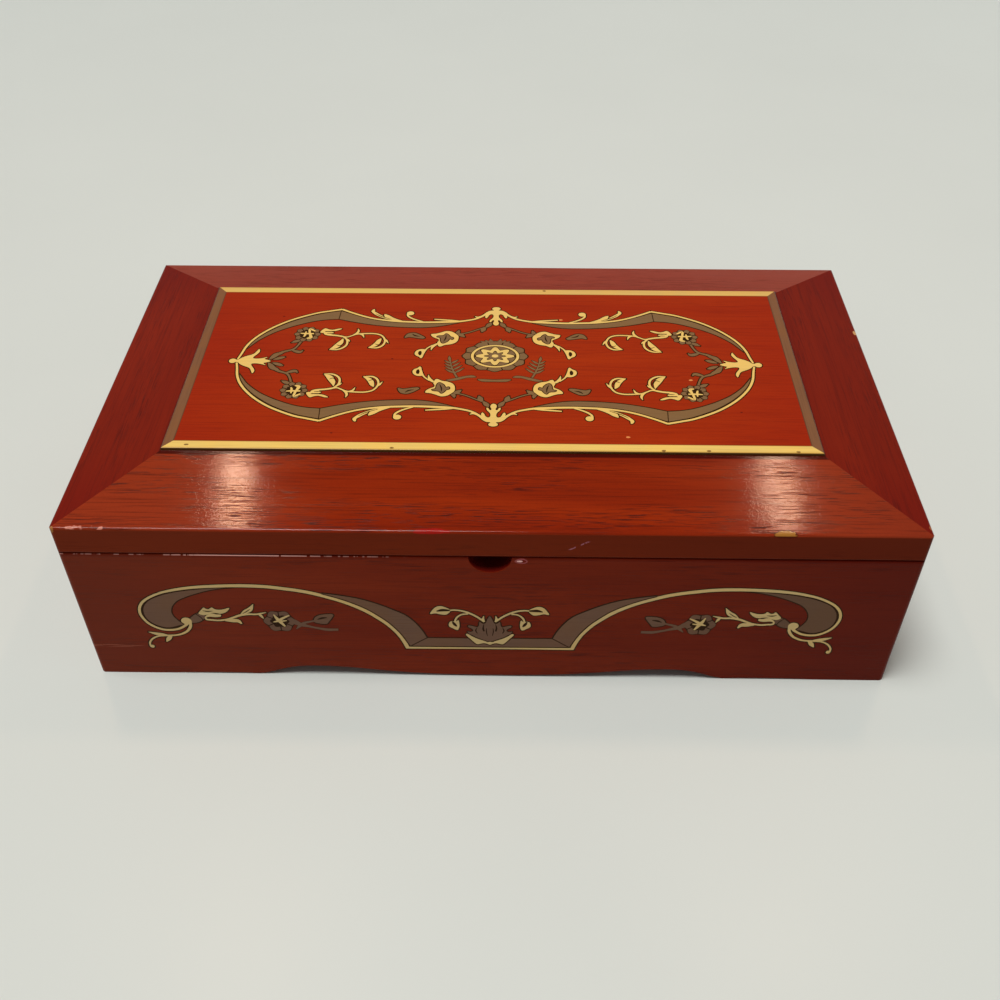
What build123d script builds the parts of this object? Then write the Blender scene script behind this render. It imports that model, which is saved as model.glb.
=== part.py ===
# Musical jewelry box: a lacquered mahogany case on shaped feet, a mitred lid with a raised inlaid
# panel, and a cylinder movement under a clear window in its left rear compartment.
# Millimetres. The origin is on the floor under the middle of the case, +X to the right of someone
# who faces the front, +Y to the back and +Z up. It is drawn closed.
import os
from math import cos, pi, radians, sin, tan

from build123d import *

os.makedirs("parts", exist_ok=True)

# Case
width = 305.0
depth = 174.0
base_height = 66.0
wall = 8.0
corner_radius = 1.8
edge_radius = 1.1
notch_radius = 7.7

# Apron along the bottom of each wall. Lengths are measured from the wall's end. The climb from
# cusp to peak and the fall from peak to middle are pairs of shares, of the way and of the height.
foot_length = 24.5
relief_rise = 0.7
cusp_rise = 0.4
peak_rise = 5.3
apron_middle_rise = 0.9
apron_climb = ((0.23, 0.27), (0.47, 0.67), (0.75, 0.94))
apron_fall = ((0.2, 0.84), (0.37, 0.5), (0.7, 0.06))
long_cusp = 62.5
long_peak = 84.5
short_cusp = 42.0
short_peak = 56.0

# Lid
band_height = 12.0
rail_width = 33.0
rail_rise = 8.0
panel_proud = 1.1
panel_thickness = 5.0
ledge_width = 6.0
rim_width = 10.0
recess_depth = 6.0
strip_thickness = 1.2
gold_strip_width = 4.3
taupe_strip_width = 4.0
lid_lining_thickness = 2.0
lining_play = 0.2
mirror_side_margin = 16.5
mirror_end_margin = 16.0
mirror_thickness = 2.8
mirror_play = 0.3
moulding_width = 6.0
moulding_lip = 3.0
lip_thickness = 0.8

# Hinges
lid_stop_angle = 95.0
pivot_inset = 3.0
hinge_offset = 95.0
hinge_length = 34.0
leaf_thickness = 1.0
barrel_radius = 1.75
barrel_clearance = 0.25
knuckle_gap = 0.2
hinge_pin_radius = 0.8
running_clearance = 0.05
hinge_screw_spacing = 11.0
hinge_screw_head_radius = 1.2
hinge_screw_radius = 0.7
hinge_screw_length = 7.0

# Bottom board and what fastens it
board_bottom = 16.0
board_thickness = 4.0
block_size = 12.0
block_height = 10.0
board_screw_head_radius = 2.6
board_screw_radius = 1.4
board_screw_length = 13.0
movement_screw_inset = 5.0

# Linings, dividers and ring rolls
lining_thickness = 1.5
lining_top = 57.0
divider_thickness = 4.0
divider_top = 55.0
movement_bay_width = 81.0
movement_bay_depth = 63.5
tray_depth = 53.5
roll_count = 6
roll_play = 0.3
roll_height = 15.0
roll_side_height = 7.0
roll_end_radius = 1.5

# Window over the movement
window_thickness = 2.0
window_sink = 1.0
window_play = 0.2
ledge_strip_width = 4.0
ledge_strip_height = 6.0
rod_hole_clearance = 0.6

# Movement. Its own origin is on top of the bedplate, under the left end of the cylinder, and its
# place in its bay is set by the plate's gaps to the linings.
plate_side_gap = 9.5
plate_back_gap = 4.7
plate_left = -31.0
plate_right = 30.5
plate_front = -29.0
plate_back = 26.8
plate_thickness = 3.0
plate_corner_radius = 3.0
movement_screw_head_radius = 2.8
movement_screw_head_height = 1.6
movement_screw_radius = 1.3

# Spring, arbor and crown wheel
arbor_x = -16.0
housing_radius = 14.0
housing_wall = 1.0
housing_height = 10.0
strip_turns = 6
spring_strip = 0.5
strip_first_radius = 3.2
strip_pitch = 1.5
strip_end_gap = 0.5
winding_arbor_radius = 2.0
wheel_gap = 0.5
crown_disc_thickness = 1.5
crown_teeth = 30
crown_pitch_radius = 12.0
crown_face = 2.4
crown_dedendum = 0.8
crown_addendum = 0.7
crown_root_share = 0.25
crown_tip_share = 0.11
arbor_end = 1.2
key_hub_radius = 3.4
key_hub_height = 10.0
key_hub_gap = 2.5
key_wing_reach = 12.0
key_wing_height = 8.0
key_wing_thickness = 1.8
key_floor_gap = 1.5
key_waist = 4.8
key_socket_depth = 7.6

# Cylinder and its comb
pinion_teeth = 8
pinion_addendum = 0.7
pinion_dedendum = 0.9
pinion_face = 2.0
pinion_shares = (0.22, 0.2, 0.1)
cylinder_start = 1.0
cylinder_length = 20.0
cylinder_radius = 6.5
cylinder_arbor_radius = 1.0
peg_radius = 0.18
peg_height = 0.8
pegs_per_track = 4
peg_step_angle = 137.5
gear_gap = 1.0
gear_teeth = 32
gear_module = 0.5
gear_addendum = 0.45
gear_dedendum = 0.6
gear_thickness = 1.5
gear_shares = (0.3, 0.2, 0.1)
bearing_thickness = 1.5
bearing_width = 5.6
bearing_gap = 1.1
bearing_foot = 4.0
bearing_foot_thickness = 1.2
comb_notes = 22
comb_note_width = 0.6
comb_thickness = 0.8
comb_tip_gap = 0.15
treble_length = 9.0
bass_length = 14.5
comb_back = 20.6
comb_seat_width = 6.0
comb_screw_radius = 0.9
comb_screw_head_radius = 1.7
comb_screw_head_height = 1.2
comb_screw_length = 6.0
comb_screw_spacing = 8.0

# Governor: wheel on the cylinder gear, worm and fan
governor_pinion_teeth = 8
governor_drop_angle = 16.26
governor_arbor_radius = 0.5
governor_pinion_shares = (0.22, 0.19, 0.1)
governor_pinion_overhang = 0.2
worm_wheel_teeth = 20
worm_wheel_thickness = 1.2
worm_wheel_x = 25.4
worm_wheel_shares = (0.25, 0.17, 0.1)
worm_radius = 1.8
worm_turns = 4
thread_root_share = 0.23
thread_tip_share = 0.1
thread_sink = 0.2
spindle_radius = 0.6
frame_thickness = 1.1
frame_left = 19.9
frame_right = 29.3
frame_front_margin = 1.5
frame_back_margin = 3.1
frame_low_top = 17.0
frame_top = 26.0
fan_radius = 4.0
fan_bottom = 19.5
fan_height = 3.0
fan_thickness = 0.4
fan_hub_radius = 1.1
bracket_screw_radius = 0.7
bracket_screw_head_radius = 1.3
bracket_screw_head_height = 0.8
bracket_screw_length = 3.0
bracket_screw_inset = 2.0

# Stop rod that the closed lid holds down
rod_radius = 1.0
rod_bottom = 5.5
rod_travel = 4.0
rod_top_gap = 0.3
rod_from_fan_axis = 6.6
guide_thickness = 1.2
guide_gap = 1.0
guide_width = 6.0
guide_plate_offset = 1.8
lower_ear_height = 7.0
upper_ear_height = 26.6
collar_radius = 1.8
collar_bottom = 17.5
collar_height = 4.0
tongue_width = 1.0
tongue_height = 1.2
fan_gap = 0.3
stop_wire_radius = 0.18
stop_coil_radius = 1.55
stop_coil_turns = 6
coil_end_gap = 0.05
slot_width = 0.5
slot_depth = 0.4

# Heights and planes that follow from the sizes above
half_width = width / 2
half_depth = depth / 2
inner_x = half_width - wall
inner_y = half_depth - wall
band_top = base_height + band_height
rail_top = band_top + rail_rise
panel_top = rail_top + panel_proud
ledge_top = panel_top - panel_thickness
recess_top = base_height + recess_depth
pivot_y = half_depth - pivot_inset
bevel_drop = pivot_inset * tan(radians(lid_stop_angle / 2))
board_top = board_bottom + board_thickness
floor_top = board_top + lining_thickness
lined_x = inner_x - lining_thickness
lined_y = inner_y - lining_thickness
divider_left = movement_bay_width - lined_x
divider_right = divider_left + divider_thickness
long_divider_x = divider_left + divider_thickness / 2
window_front = lined_y - movement_bay_depth
roll_back = window_front - divider_thickness
movement_divider_y = window_front - divider_thickness / 2
tray_divider_y = lined_y - tray_depth - divider_thickness / 2
movement_x = plate_side_gap - lined_x - plate_left
movement_y = lined_y - plate_back_gap - plate_back
plate_top = board_top + plate_thickness
lid_lining_bottom = recess_top - lid_lining_thickness
mirror_length = 2 * (half_width - rim_width - mirror_side_margin - moulding_width)
mirror_width = 2 * (half_depth - rim_width - mirror_end_margin - moulding_width)
window_top = divider_top - window_sink
window_bottom = window_top - window_thickness


def at(x, y, z):
    # A place given in the movement's own frame
    return (movement_x + x, movement_y + y, plate_top + z)


def across(x, y, z):
    # A plane square to the movement's shafts that lie along X: its x is back, its y is up
    return Plane(at(x, y, z), x_dir=(0, 1, 0), z_dir=(1, 0, 0))


def outward(turn):
    # Direction out of a side of the case: 0 the front, 90 the right, 180 the back, 270 the left
    return Vector(0, -1, 0).rotate(Axis.Z, turn)


def elevation(turn, out):
    # Outer face of a side, seen from outside: x to the right, y up
    return Plane(outward(turn) * out, x_dir=Vector(1, 0, 0).rotate(Axis.Z, turn), z_dir=outward(turn))


def mitred_side(turn, half_length, out, reach, outline, soft_corners):
    # One side of a mitred frame: its plan, with ends at 45 degrees, crossed with its section.
    # The section's first number runs inward from the outer face and its second is the height.
    along = Vector(1, 0, 0).rotate(Axis.Z, turn)
    with BuildPart() as side:
        with BuildSketch(Plane((0, 0, 0), x_dir=along, z_dir=(0, 0, 1))):
            with BuildLine():
                arc_y = corner_radius - out
                left = CenterArc((corner_radius - half_length, arc_y), corner_radius, 225, 45)
                right = CenterArc((half_length - corner_radius, arc_y), corner_radius, 270, 45)
                Line(left @ 1, right @ 0)
                inner_edge_y = reach - out
                Polyline(
                    right @ 1,
                    (half_length - reach, inner_edge_y),
                    (reach - half_length, inner_edge_y),
                    left @ 0,
                )
            make_face()
        extrude(amount=panel_top)
        with BuildSketch(Plane(outward(turn) * out, x_dir=-outward(turn), z_dir=along)) as profile:
            with BuildLine():
                Polyline(*outline, close=True)
            make_face()
            for corner in soft_corners:
                fillet(profile.vertices().sort_by_distance(corner)[0], edge_radius)
        extrude(amount=half_length, both=True, mode=Mode.INTERSECT)
    return side.part


def apron(half_length, cusp, peak):
    # Space under a wall between its feet, in the wall's elevation
    foot_edge = half_length - foot_length
    cusp_x = half_length - cusp
    peak_x = half_length - peak
    climb = [
        (cusp_x + way * (peak_x - cusp_x), cusp_rise + height * (peak_rise - cusp_rise))
        for way, height in apron_climb
    ]
    fall = [
        (peak_x * (1 - way), apron_middle_rise + height * (peak_rise - apron_middle_rise))
        for way, height in apron_fall
    ]
    right_half = [(cusp_x, cusp_rise), *climb, (peak_x, peak_rise), *fall]
    left_half = [(-x, z) for x, z in right_half]
    with BuildSketch() as cut:
        with BuildLine():
            relief_x = (foot_edge + cusp_x) / 2
            ThreePointArc((-foot_edge, 0), (-relief_x, relief_rise), (-cusp_x, cusp_rise))
            Spline(*left_half, (0, apron_middle_rise), *reversed(right_half))
            ThreePointArc((cusp_x, cusp_rise), (relief_x, relief_rise), (foot_edge, 0))
            Polyline((foot_edge, 0), (foot_edge, -1), (-foot_edge, -1), (-foot_edge, 0))
        make_face()
    return cut.sketch


def screw_body(head_radius, head_height, shank_radius, length):
    # Screw with its head's seat at z = 0 and its shank down. No head height: a countersunk head
    # whose top is at z = 0.
    if head_height:
        points = [(0, head_height), (head_radius, head_height), (head_radius, 0), (shank_radius, 0)]
    else:
        points = [(0, 0), (head_radius, 0), (shank_radius, shank_radius - head_radius)]
    with BuildPart() as body:
        with BuildSketch(Plane.XZ):
            with BuildLine():
                Polyline(*points, (shank_radius, -length), (0, -length), close=True)
            make_face()
        revolve(axis=Axis.Z)
    return body.part


def slotted(body, head_radius, head_height):
    # The same screw with its driver slot
    with BuildPart() as screw:
        add(body)
        with BuildSketch(Plane.XY.offset(head_height)):
            Rectangle(3 * head_radius, min(slot_width, head_radius / 2))
        extrude(amount=-min(slot_depth, head_radius / 3), mode=Mode.SUBTRACT)
    return screw.part


def toothed_outline(teeth, pitch_radius, addendum, dedendum, shares, turn):
    # Corners of a toothed wheel. The shares are a tooth's half widths at its root, pitch line and
    # tip, as shares of the tooth pitch, and one tooth points at the angle turn, in degrees.
    step = 2 * pi / teeth
    radii = (pitch_radius - dedendum, pitch_radius, pitch_radius + addendum)
    flank = list(zip(radii, shares))
    corners = []
    for tooth in range(teeth):
        middle = radians(turn) + tooth * step
        rising = [(radius, middle - share * step) for radius, share in flank]
        falling = [(radius, middle + share * step) for radius, share in reversed(flank)]
        corners += [(radius * cos(angle), radius * sin(angle)) for radius, angle in rising + falling]
    return corners


# Case walls
wall_outline = [(0, 0), (wall, 0), (wall, base_height), (0, base_height)]
top_edge = [(0, base_height)]
front_blank = mitred_side(0, half_width, half_depth, wall, wall_outline, top_edge)
back_blank = mitred_side(180, half_width, half_depth, wall, wall_outline, [])
long_apron = apron(half_width, long_cusp, long_peak)
short_apron = apron(half_depth, short_cusp, short_peak)

# Groove cut behind the hinge line. Its faces meet when the lid stands open at its stop.
with BuildPart() as hinge_groove:
    with BuildSketch(Plane.YZ):
        with BuildLine():
            Polyline(
                (pivot_y, base_height),
                (pivot_y + 2 * pivot_inset, base_height - 2 * bevel_drop),
                (pivot_y + 2 * pivot_inset, base_height + 2 * bevel_drop),
                close=True,
            )
        make_face()
    extrude(amount=width, both=True)

with BuildPart() as front_wall:
    add(front_blank)
    with BuildSketch(elevation(0, half_depth)):
        add(long_apron)
        with Locations((0, base_height)):
            Circle(notch_radius)
    extrude(amount=wall, both=True, mode=Mode.SUBTRACT)
front_wall.part.label = "front_wall"
export_step(front_wall.part, "parts/front_wall.step")

for name, turn in (("right_wall", 90), ("left_wall", 270)):
    side_blank = mitred_side(turn, half_depth, half_width, wall, wall_outline, top_edge)
    with BuildPart() as side_wall:
        add(side_blank)
        with BuildSketch(elevation(turn, half_width)):
            add(short_apron)
        extrude(amount=wall, both=True, mode=Mode.SUBTRACT)
        add(hinge_groove.part, mode=Mode.SUBTRACT)
    side_wall.part.label = name
    export_step(side_wall.part, f"parts/{name}.step")

# Hinge places on the joint line between case and lid
hinge_places = [(side * hinge_offset, pivot_y, base_height) for side in (-1, 1)]
leaf_width = wall - pivot_inset
gain_radius = barrel_radius + barrel_clearance
knuckle_length = (hinge_length - 2 * knuckle_gap) / 3
knuckle_pitch = knuckle_length + knuckle_gap
leaf_screw_y = (inner_y + pivot_y - gain_radius) / 2
hinge_screw = screw_body(hinge_screw_head_radius, 0, hinge_screw_radius, hinge_screw_length)
slotted_hinge_screw = slotted(hinge_screw, hinge_screw_head_radius, 0)
hinge_screw_xs = [
    side * hinge_offset + place * hinge_screw_spacing for side in (-1, 1) for place in (-1, 0, 1)
]
base_screw_places = [
    Location((x, leaf_screw_y, base_height)) for x in hinge_screw_xs
]
lid_screw_places = [
    Location((x, leaf_screw_y, base_height), (180, 0, 0)) for x in hinge_screw_xs
]

with BuildPart() as back_wall:
    add(back_blank)
    with BuildSketch(elevation(180, half_depth)):
        add(long_apron)
    extrude(amount=wall, both=True, mode=Mode.SUBTRACT)
    add(hinge_groove.part, mode=Mode.SUBTRACT)
    with Locations(*hinge_places):
        Box(
            hinge_length,
            leaf_width,
            leaf_thickness,
            align=(Align.CENTER, Align.MAX, Align.MAX),
            mode=Mode.SUBTRACT,
        )
        Cylinder(gain_radius, hinge_length, rotation=(0, 90, 0), mode=Mode.SUBTRACT)
    with Locations(*base_screw_places):
        add(hinge_screw, mode=Mode.SUBTRACT)
back_wall.part.label = "back_wall"
export_step(back_wall.part, "parts/back_wall.step")

with BuildPart() as base_hinge_screws:
    with Locations(*base_screw_places):
        add(slotted_hinge_screw)
base_hinge_screws.part.label = "base_hinge_screws"
export_step(base_hinge_screws.part, "parts/base_hinge_screws.step")

with BuildPart() as lid_hinge_screws:
    with Locations(*lid_screw_places):
        add(slotted_hinge_screw)
lid_hinge_screws.part.label = "lid_hinge_screws"
export_step(lid_hinge_screws.part, "parts/lid_hinge_screws.step")

with BuildPart() as hinge_pins:
    with Locations(*hinge_places):
        Cylinder(hinge_pin_radius, hinge_length, rotation=(0, 90, 0))
hinge_pins.part.label = "hinge_pins"
export_step(hinge_pins.part, "parts/hinge_pins.step")

# Hinge leaves. The case's leaves carry the outer knuckles and the lid's the middle one.
outer_knuckles = [
    (x + side * knuckle_pitch, pivot_y, base_height) for x, _, _ in hinge_places for side in (-1, 1)
]
middle_knuckles = hinge_places
leaf_sets = (
    ("hinge_base_leaves", Align.MAX, outer_knuckles, middle_knuckles, base_screw_places),
    ("hinge_lid_leaves", Align.MIN, middle_knuckles, outer_knuckles, lid_screw_places),
)
for name, leaf_side, own_knuckles, other_knuckles, screw_places in leaf_sets:
    with BuildPart() as leaves:
        with Locations(*hinge_places):
            Box(
                hinge_length,
                leaf_width,
                leaf_thickness,
                align=(Align.CENTER, Align.MAX, leaf_side),
            )
        with Locations(*other_knuckles):
            Cylinder(
                gain_radius,
                knuckle_length + 2 * knuckle_gap,
                rotation=(0, 90, 0),
                mode=Mode.SUBTRACT,
            )
        with Locations(*own_knuckles):
            Cylinder(barrel_radius, knuckle_length, rotation=(0, 90, 0))
        with Locations(*hinge_places):
            Cylinder(
                hinge_pin_radius + running_clearance,
                hinge_length,
                rotation=(0, 90, 0),
                mode=Mode.SUBTRACT,
            )
        with Locations(*screw_places):
            add(hinge_screw, mode=Mode.SUBTRACT)
    leaves.part.label = name
    export_step(leaves.part, f"parts/{name}.step")

# Bottom board on four corner blocks
block_x = inner_x - block_size / 2
block_y = inner_y - block_size / 2
board_screw = screw_body(board_screw_head_radius, 0, board_screw_radius, board_screw_length)
board_screw_places = [
    Location((side_x * block_x, side_y * block_y, board_bottom - block_height), (180, 0, 0))
    for side_x in (-1, 1)
    for side_y in (-1, 1)
]
plate_middle_x = (plate_left + plate_right) / 2
movement_screw_length = board_thickness + plate_thickness
movement_screw = screw_body(
    movement_screw_head_radius,
    movement_screw_head_height,
    movement_screw_radius,
    movement_screw_length,
)
movement_screw_places = [
    Location((x, y, board_bottom), (180, 0, 0))
    for x, y, _ in (
        at(plate_left + movement_screw_inset, plate_front + movement_screw_inset, 0),
        at(plate_left + movement_screw_inset, plate_back - movement_screw_inset, 0),
        at(plate_right - movement_screw_inset, plate_front + movement_screw_inset, 0),
    )
]
arbor_hole_radius = winding_arbor_radius + running_clearance

with BuildPart() as corner_blocks:
    with Locations((0, 0, board_bottom)):
        with GridLocations(2 * block_x, 2 * block_y, 2, 2):
            Box(
                block_size,
                block_size,
                block_height,
                align=(Align.CENTER, Align.CENTER, Align.MAX),
            )
    with Locations(*board_screw_places):
        add(board_screw, mode=Mode.SUBTRACT)
corner_blocks.part.label = "corner_blocks"
export_step(corner_blocks.part, "parts/corner_blocks.step")

slotted_board_screw = slotted(board_screw, board_screw_head_radius, 0)
with BuildPart() as board_screws:
    with Locations(*board_screw_places):
        add(slotted_board_screw)
board_screws.part.label = "board_screws"
export_step(board_screws.part, "parts/board_screws.step")

with BuildPart() as bottom_board:
    with BuildSketch(Plane.XY.offset(board_bottom)):
        Rectangle(2 * inner_x, 2 * inner_y)
        with Locations(at(arbor_x, 0, 0)[:2]):
            Circle(winding_arbor_radius + rod_hole_clearance, mode=Mode.SUBTRACT)
    extrude(amount=board_thickness)
    with Locations(*board_screw_places):
        add(board_screw, mode=Mode.SUBTRACT)
    with Locations(*movement_screw_places):
        add(movement_screw, mode=Mode.SUBTRACT)
bottom_board.part.label = "bottom_board"
export_step(bottom_board.part, "parts/bottom_board.step")

slotted_movement_screw = slotted(
    movement_screw, movement_screw_head_radius, movement_screw_head_height
)
with BuildPart() as movement_screws:
    with Locations(*movement_screw_places):
        add(slotted_movement_screw)
movement_screws.part.label = "movement_screws"
export_step(movement_screws.part, "parts/movement_screws.step")

# Velvet covered linings
lining_height = lining_top - board_top
for name, side in (("front_lining", -1), ("back_lining", 1)):
    with BuildPart() as long_lining:
        with Locations((0, side * (inner_y - lining_thickness / 2), board_top)):
            Box(
                2 * inner_x,
                lining_thickness,
                lining_height,
                align=(Align.CENTER, Align.CENTER, Align.MIN),
            )
    long_lining.part.label = name
    export_step(long_lining.part, f"parts/{name}.step")

for name, side in (("left_lining", -1), ("right_lining", 1)):
    with BuildPart() as short_lining:
        with Locations((side * (inner_x - lining_thickness / 2), 0, board_top)):
            Box(
                lining_thickness,
                2 * lined_y,
                lining_height,
                align=(Align.CENTER, Align.CENTER, Align.MIN),
            )
    short_lining.part.label = name
    export_step(short_lining.part, f"parts/{name}.step")

floor_linings = (
    ("main_floor_lining", divider_right, lined_x, -lined_y, lined_y),
    ("roll_floor_lining", -lined_x, divider_left, -lined_y, roll_back),
)
for name, left, right, front, back in floor_linings:
    with BuildPart() as floor_lining:
        with BuildSketch(Plane.XY.offset(board_top)):
            with Locations(((left + right) / 2, (front + back) / 2)):
                Rectangle(right - left, back - front)
        extrude(amount=lining_thickness)
    floor_lining.part.label = name
    export_step(floor_lining.part, f"parts/{name}.step")

# Dividers
with BuildPart() as long_divider:
    with Locations((long_divider_x, 0, board_top)):
        Box(
            divider_thickness,
            2 * lined_y,
            divider_top - board_top,
            align=(Align.CENTER, Align.CENTER, Align.MIN),
        )
long_divider.part.label = "long_divider"
export_step(long_divider.part, "parts/long_divider.step")

cross_dividers = (
    ("movement_divider", -lined_x, divider_left, movement_divider_y, board_top),
    ("tray_divider", divider_right, lined_x, tray_divider_y, floor_top),
)
for name, left, right, middle_y, bottom in cross_dividers:
    with BuildPart() as cross_divider:
        with Locations(((left + right) / 2, middle_y, bottom)):
            Box(
                right - left,
                divider_thickness,
                divider_top - bottom,
                align=(Align.CENTER, Align.CENTER, Align.MIN),
            )
    cross_divider.part.label = name
    export_step(cross_divider.part, f"parts/{name}.step")

# Ring rolls, side by side across the front left compartment
roll_space = roll_back + lined_y
roll_pitch = roll_space / roll_count
roll_width = roll_pitch - roll_play
roll_length = divider_left + lined_x - 2 * roll_play
roll_left = -lined_x + roll_play
with BuildPart() as ring_rolls:
    for roll in range(roll_count):
        roll_y = -lined_y + (roll + 0.5) * roll_pitch
        with BuildSketch(Plane((roll_left, roll_y, floor_top), x_dir=(0, 1, 0), z_dir=(1, 0, 0))):
            with BuildLine():
                Polyline(
                    (-roll_width / 2, roll_side_height),
                    (-roll_width / 2 + roll_end_radius, 0),
                    (roll_width / 2 - roll_end_radius, 0),
                    (roll_width / 2, roll_side_height),
                )
                ThreePointArc(
                    (roll_width / 2, roll_side_height),
                    (0, roll_height),
                    (-roll_width / 2, roll_side_height),
                )
            make_face()
        extrude(amount=roll_length)
ring_rolls.part.label = "ring_rolls"
export_step(ring_rolls.part, "parts/ring_rolls.step")

# Window over the movement, on two ledge strips
window_left = -lined_x
window_right = divider_left
window_depth = lined_y - window_front
rod_x = worm_wheel_x
with BuildPart() as window_ledges:
    for strip_x in (window_left + ledge_strip_width / 2, window_right - ledge_strip_width / 2):
        with Locations((strip_x, (window_front + lined_y) / 2, window_bottom)):
            Box(
                ledge_strip_width,
                window_depth,
                ledge_strip_height,
                align=(Align.CENTER, Align.CENTER, Align.MAX),
            )
window_ledges.part.label = "window_ledges"
export_step(window_ledges.part, "parts/window_ledges.step")

# Governor centres, which the frame, the stop rod and the window's hole share
pinion_module = 2 * crown_pitch_radius / crown_teeth
pinion_pitch_radius = pinion_module * pinion_teeth / 2
crown_root = housing_height + wheel_gap + crown_disc_thickness
shaft_height = crown_root + crown_dedendum + pinion_pitch_radius
gear_pitch_radius = gear_module * gear_teeth / 2
governor_pitch_radius = gear_module * governor_pinion_teeth / 2
centre_distance = gear_pitch_radius + governor_pitch_radius
governor_y = centre_distance * cos(radians(governor_drop_angle))
governor_z = shaft_height - centre_distance * sin(radians(governor_drop_angle))
worm_wheel_radius = gear_module * worm_wheel_teeth / 2
worm_y = governor_y + worm_wheel_radius + worm_radius
rod_y = worm_y + rod_from_fan_axis

with BuildPart() as movement_window:
    with BuildSketch(Plane.XY.offset(window_bottom)):
        with Locations(((window_left + window_right) / 2, (window_front + lined_y) / 2)):
            Rectangle(window_right - window_left - 2 * window_play, window_depth - 2 * window_play)
        with Locations(at(rod_x, rod_y, 0)[:2]):
            Circle(rod_radius + rod_hole_clearance, mode=Mode.SUBTRACT)
    extrude(amount=window_thickness)
movement_window.part.label = "movement_window"
export_step(movement_window.part, "parts/movement_window.step")

# Lid rails: a square band, a long slope up to the panel, a ledge under it and a recess below
lid_reach = rail_width + ledge_width
rail_outline = [
    (0, base_height),
    (0, band_top),
    (rail_width, rail_top),
    (rail_width, ledge_top),
    (lid_reach, ledge_top),
    (lid_reach, recess_top),
    (rim_width, recess_top),
    (rim_width, base_height),
]
rail_edges = [(0, base_height), (0, band_top)]
rail_sides = (
    ("lid_front_rail", 0, half_width, half_depth),
    ("lid_right_rail", 90, half_depth, half_width),
    ("lid_left_rail", 270, half_depth, half_width),
)
for name, turn, half_length, out in rail_sides:
    rail_blank = mitred_side(turn, half_length, out, lid_reach, rail_outline, rail_edges)
    with BuildPart() as rail:
        add(rail_blank)
        add(hinge_groove.part, mode=Mode.SUBTRACT)
    rail.part.label = name
    export_step(rail.part, f"parts/{name}.step")

back_rail_blank = mitred_side(
    180, half_width, half_depth, lid_reach, rail_outline, [(0, band_top)]
)
with BuildPart() as lid_back_rail:
    add(back_rail_blank)
    add(hinge_groove.part, mode=Mode.SUBTRACT)
    with Locations(*hinge_places):
        Box(
            hinge_length,
            leaf_width,
            leaf_thickness,
            align=(Align.CENTER, Align.MAX, Align.MIN),
            mode=Mode.SUBTRACT,
        )
        Cylinder(gain_radius, hinge_length, rotation=(0, 90, 0), mode=Mode.SUBTRACT)
    with Locations(*lid_screw_places):
        add(hinge_screw, mode=Mode.SUBTRACT)
lid_back_rail.part.label = "lid_back_rail"
export_step(lid_back_rail.part, "parts/lid_back_rail.step")

# Raised panel with its edge strips let in flush
panel_x = half_width - rail_width
panel_y = half_depth - rail_width
strip_bottom = panel_top - strip_thickness
with BuildPart() as lid_panel:
    with BuildSketch(Plane.XY.offset(ledge_top)):
        Rectangle(2 * panel_x, 2 * panel_y)
    extrude(amount=strip_bottom - ledge_top)
    with BuildSketch(Plane.XY.offset(strip_bottom)):
        Rectangle(2 * (panel_x - taupe_strip_width), 2 * (panel_y - gold_strip_width))
    extrude(amount=strip_thickness)
lid_panel.part.label = "lid_panel"
export_step(lid_panel.part, "parts/lid_panel.step")

strip_edge_radius = edge_radius / 2
with BuildPart() as gold_strips:
    for side in (-1, 1):
        with BuildSketch(Plane.XY.offset(strip_bottom)):
            with BuildLine():
                Polyline(
                    (-panel_x, side * panel_y),
                    (panel_x, side * panel_y),
                    (panel_x - taupe_strip_width, side * (panel_y - gold_strip_width)),
                    (taupe_strip_width - panel_x, side * (panel_y - gold_strip_width)),
                    close=True,
                )
            make_face()
        extrude(amount=strip_thickness)
    top_edges = gold_strips.edges().filter_by(Axis.X).group_by(Axis.Z)[-1].sort_by(Axis.Y)
    fillet([top_edges[0], top_edges[-1]], strip_edge_radius)
gold_strips.part.label = "gold_strips"
export_step(gold_strips.part, "parts/gold_strips.step")

with BuildPart() as taupe_strips:
    for side in (-1, 1):
        with BuildSketch(Plane.XY.offset(strip_bottom)):
            with BuildLine():
                Polyline(
                    (side * panel_x, -panel_y),
                    (side * panel_x, panel_y),
                    (side * (panel_x - taupe_strip_width), panel_y - gold_strip_width),
                    (side * (panel_x - taupe_strip_width), gold_strip_width - panel_y),
                    close=True,
                )
            make_face()
        extrude(amount=strip_thickness)
    top_edges = taupe_strips.edges().filter_by(Axis.Y).group_by(Axis.Z)[-1].sort_by(Axis.X)
    fillet([top_edges[0], top_edges[-1]], strip_edge_radius)
taupe_strips.part.label = "taupe_strips"
export_step(taupe_strips.part, "parts/taupe_strips.step")

# Lining board, mirror and moulding inside the lid
with BuildPart() as lid_lining:
    with BuildSketch(Plane.XY.offset(lid_lining_bottom)):
        Rectangle(
            2 * (half_width - rim_width - lining_play), 2 * (half_depth - rim_width - lining_play)
        )
    extrude(amount=lid_lining_thickness)
lid_lining.part.label = "lid_lining"
export_step(lid_lining.part, "parts/lid_lining.step")

mirror_bottom = lid_lining_bottom - mirror_thickness
with BuildPart() as mirror_glass:
    with BuildSketch(Plane.XY.offset(mirror_bottom)):
        Rectangle(mirror_length, mirror_width)
    extrude(amount=mirror_thickness)
mirror_glass.part.label = "mirror_glass"
export_step(mirror_glass.part, "parts/mirror_glass.step")

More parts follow.
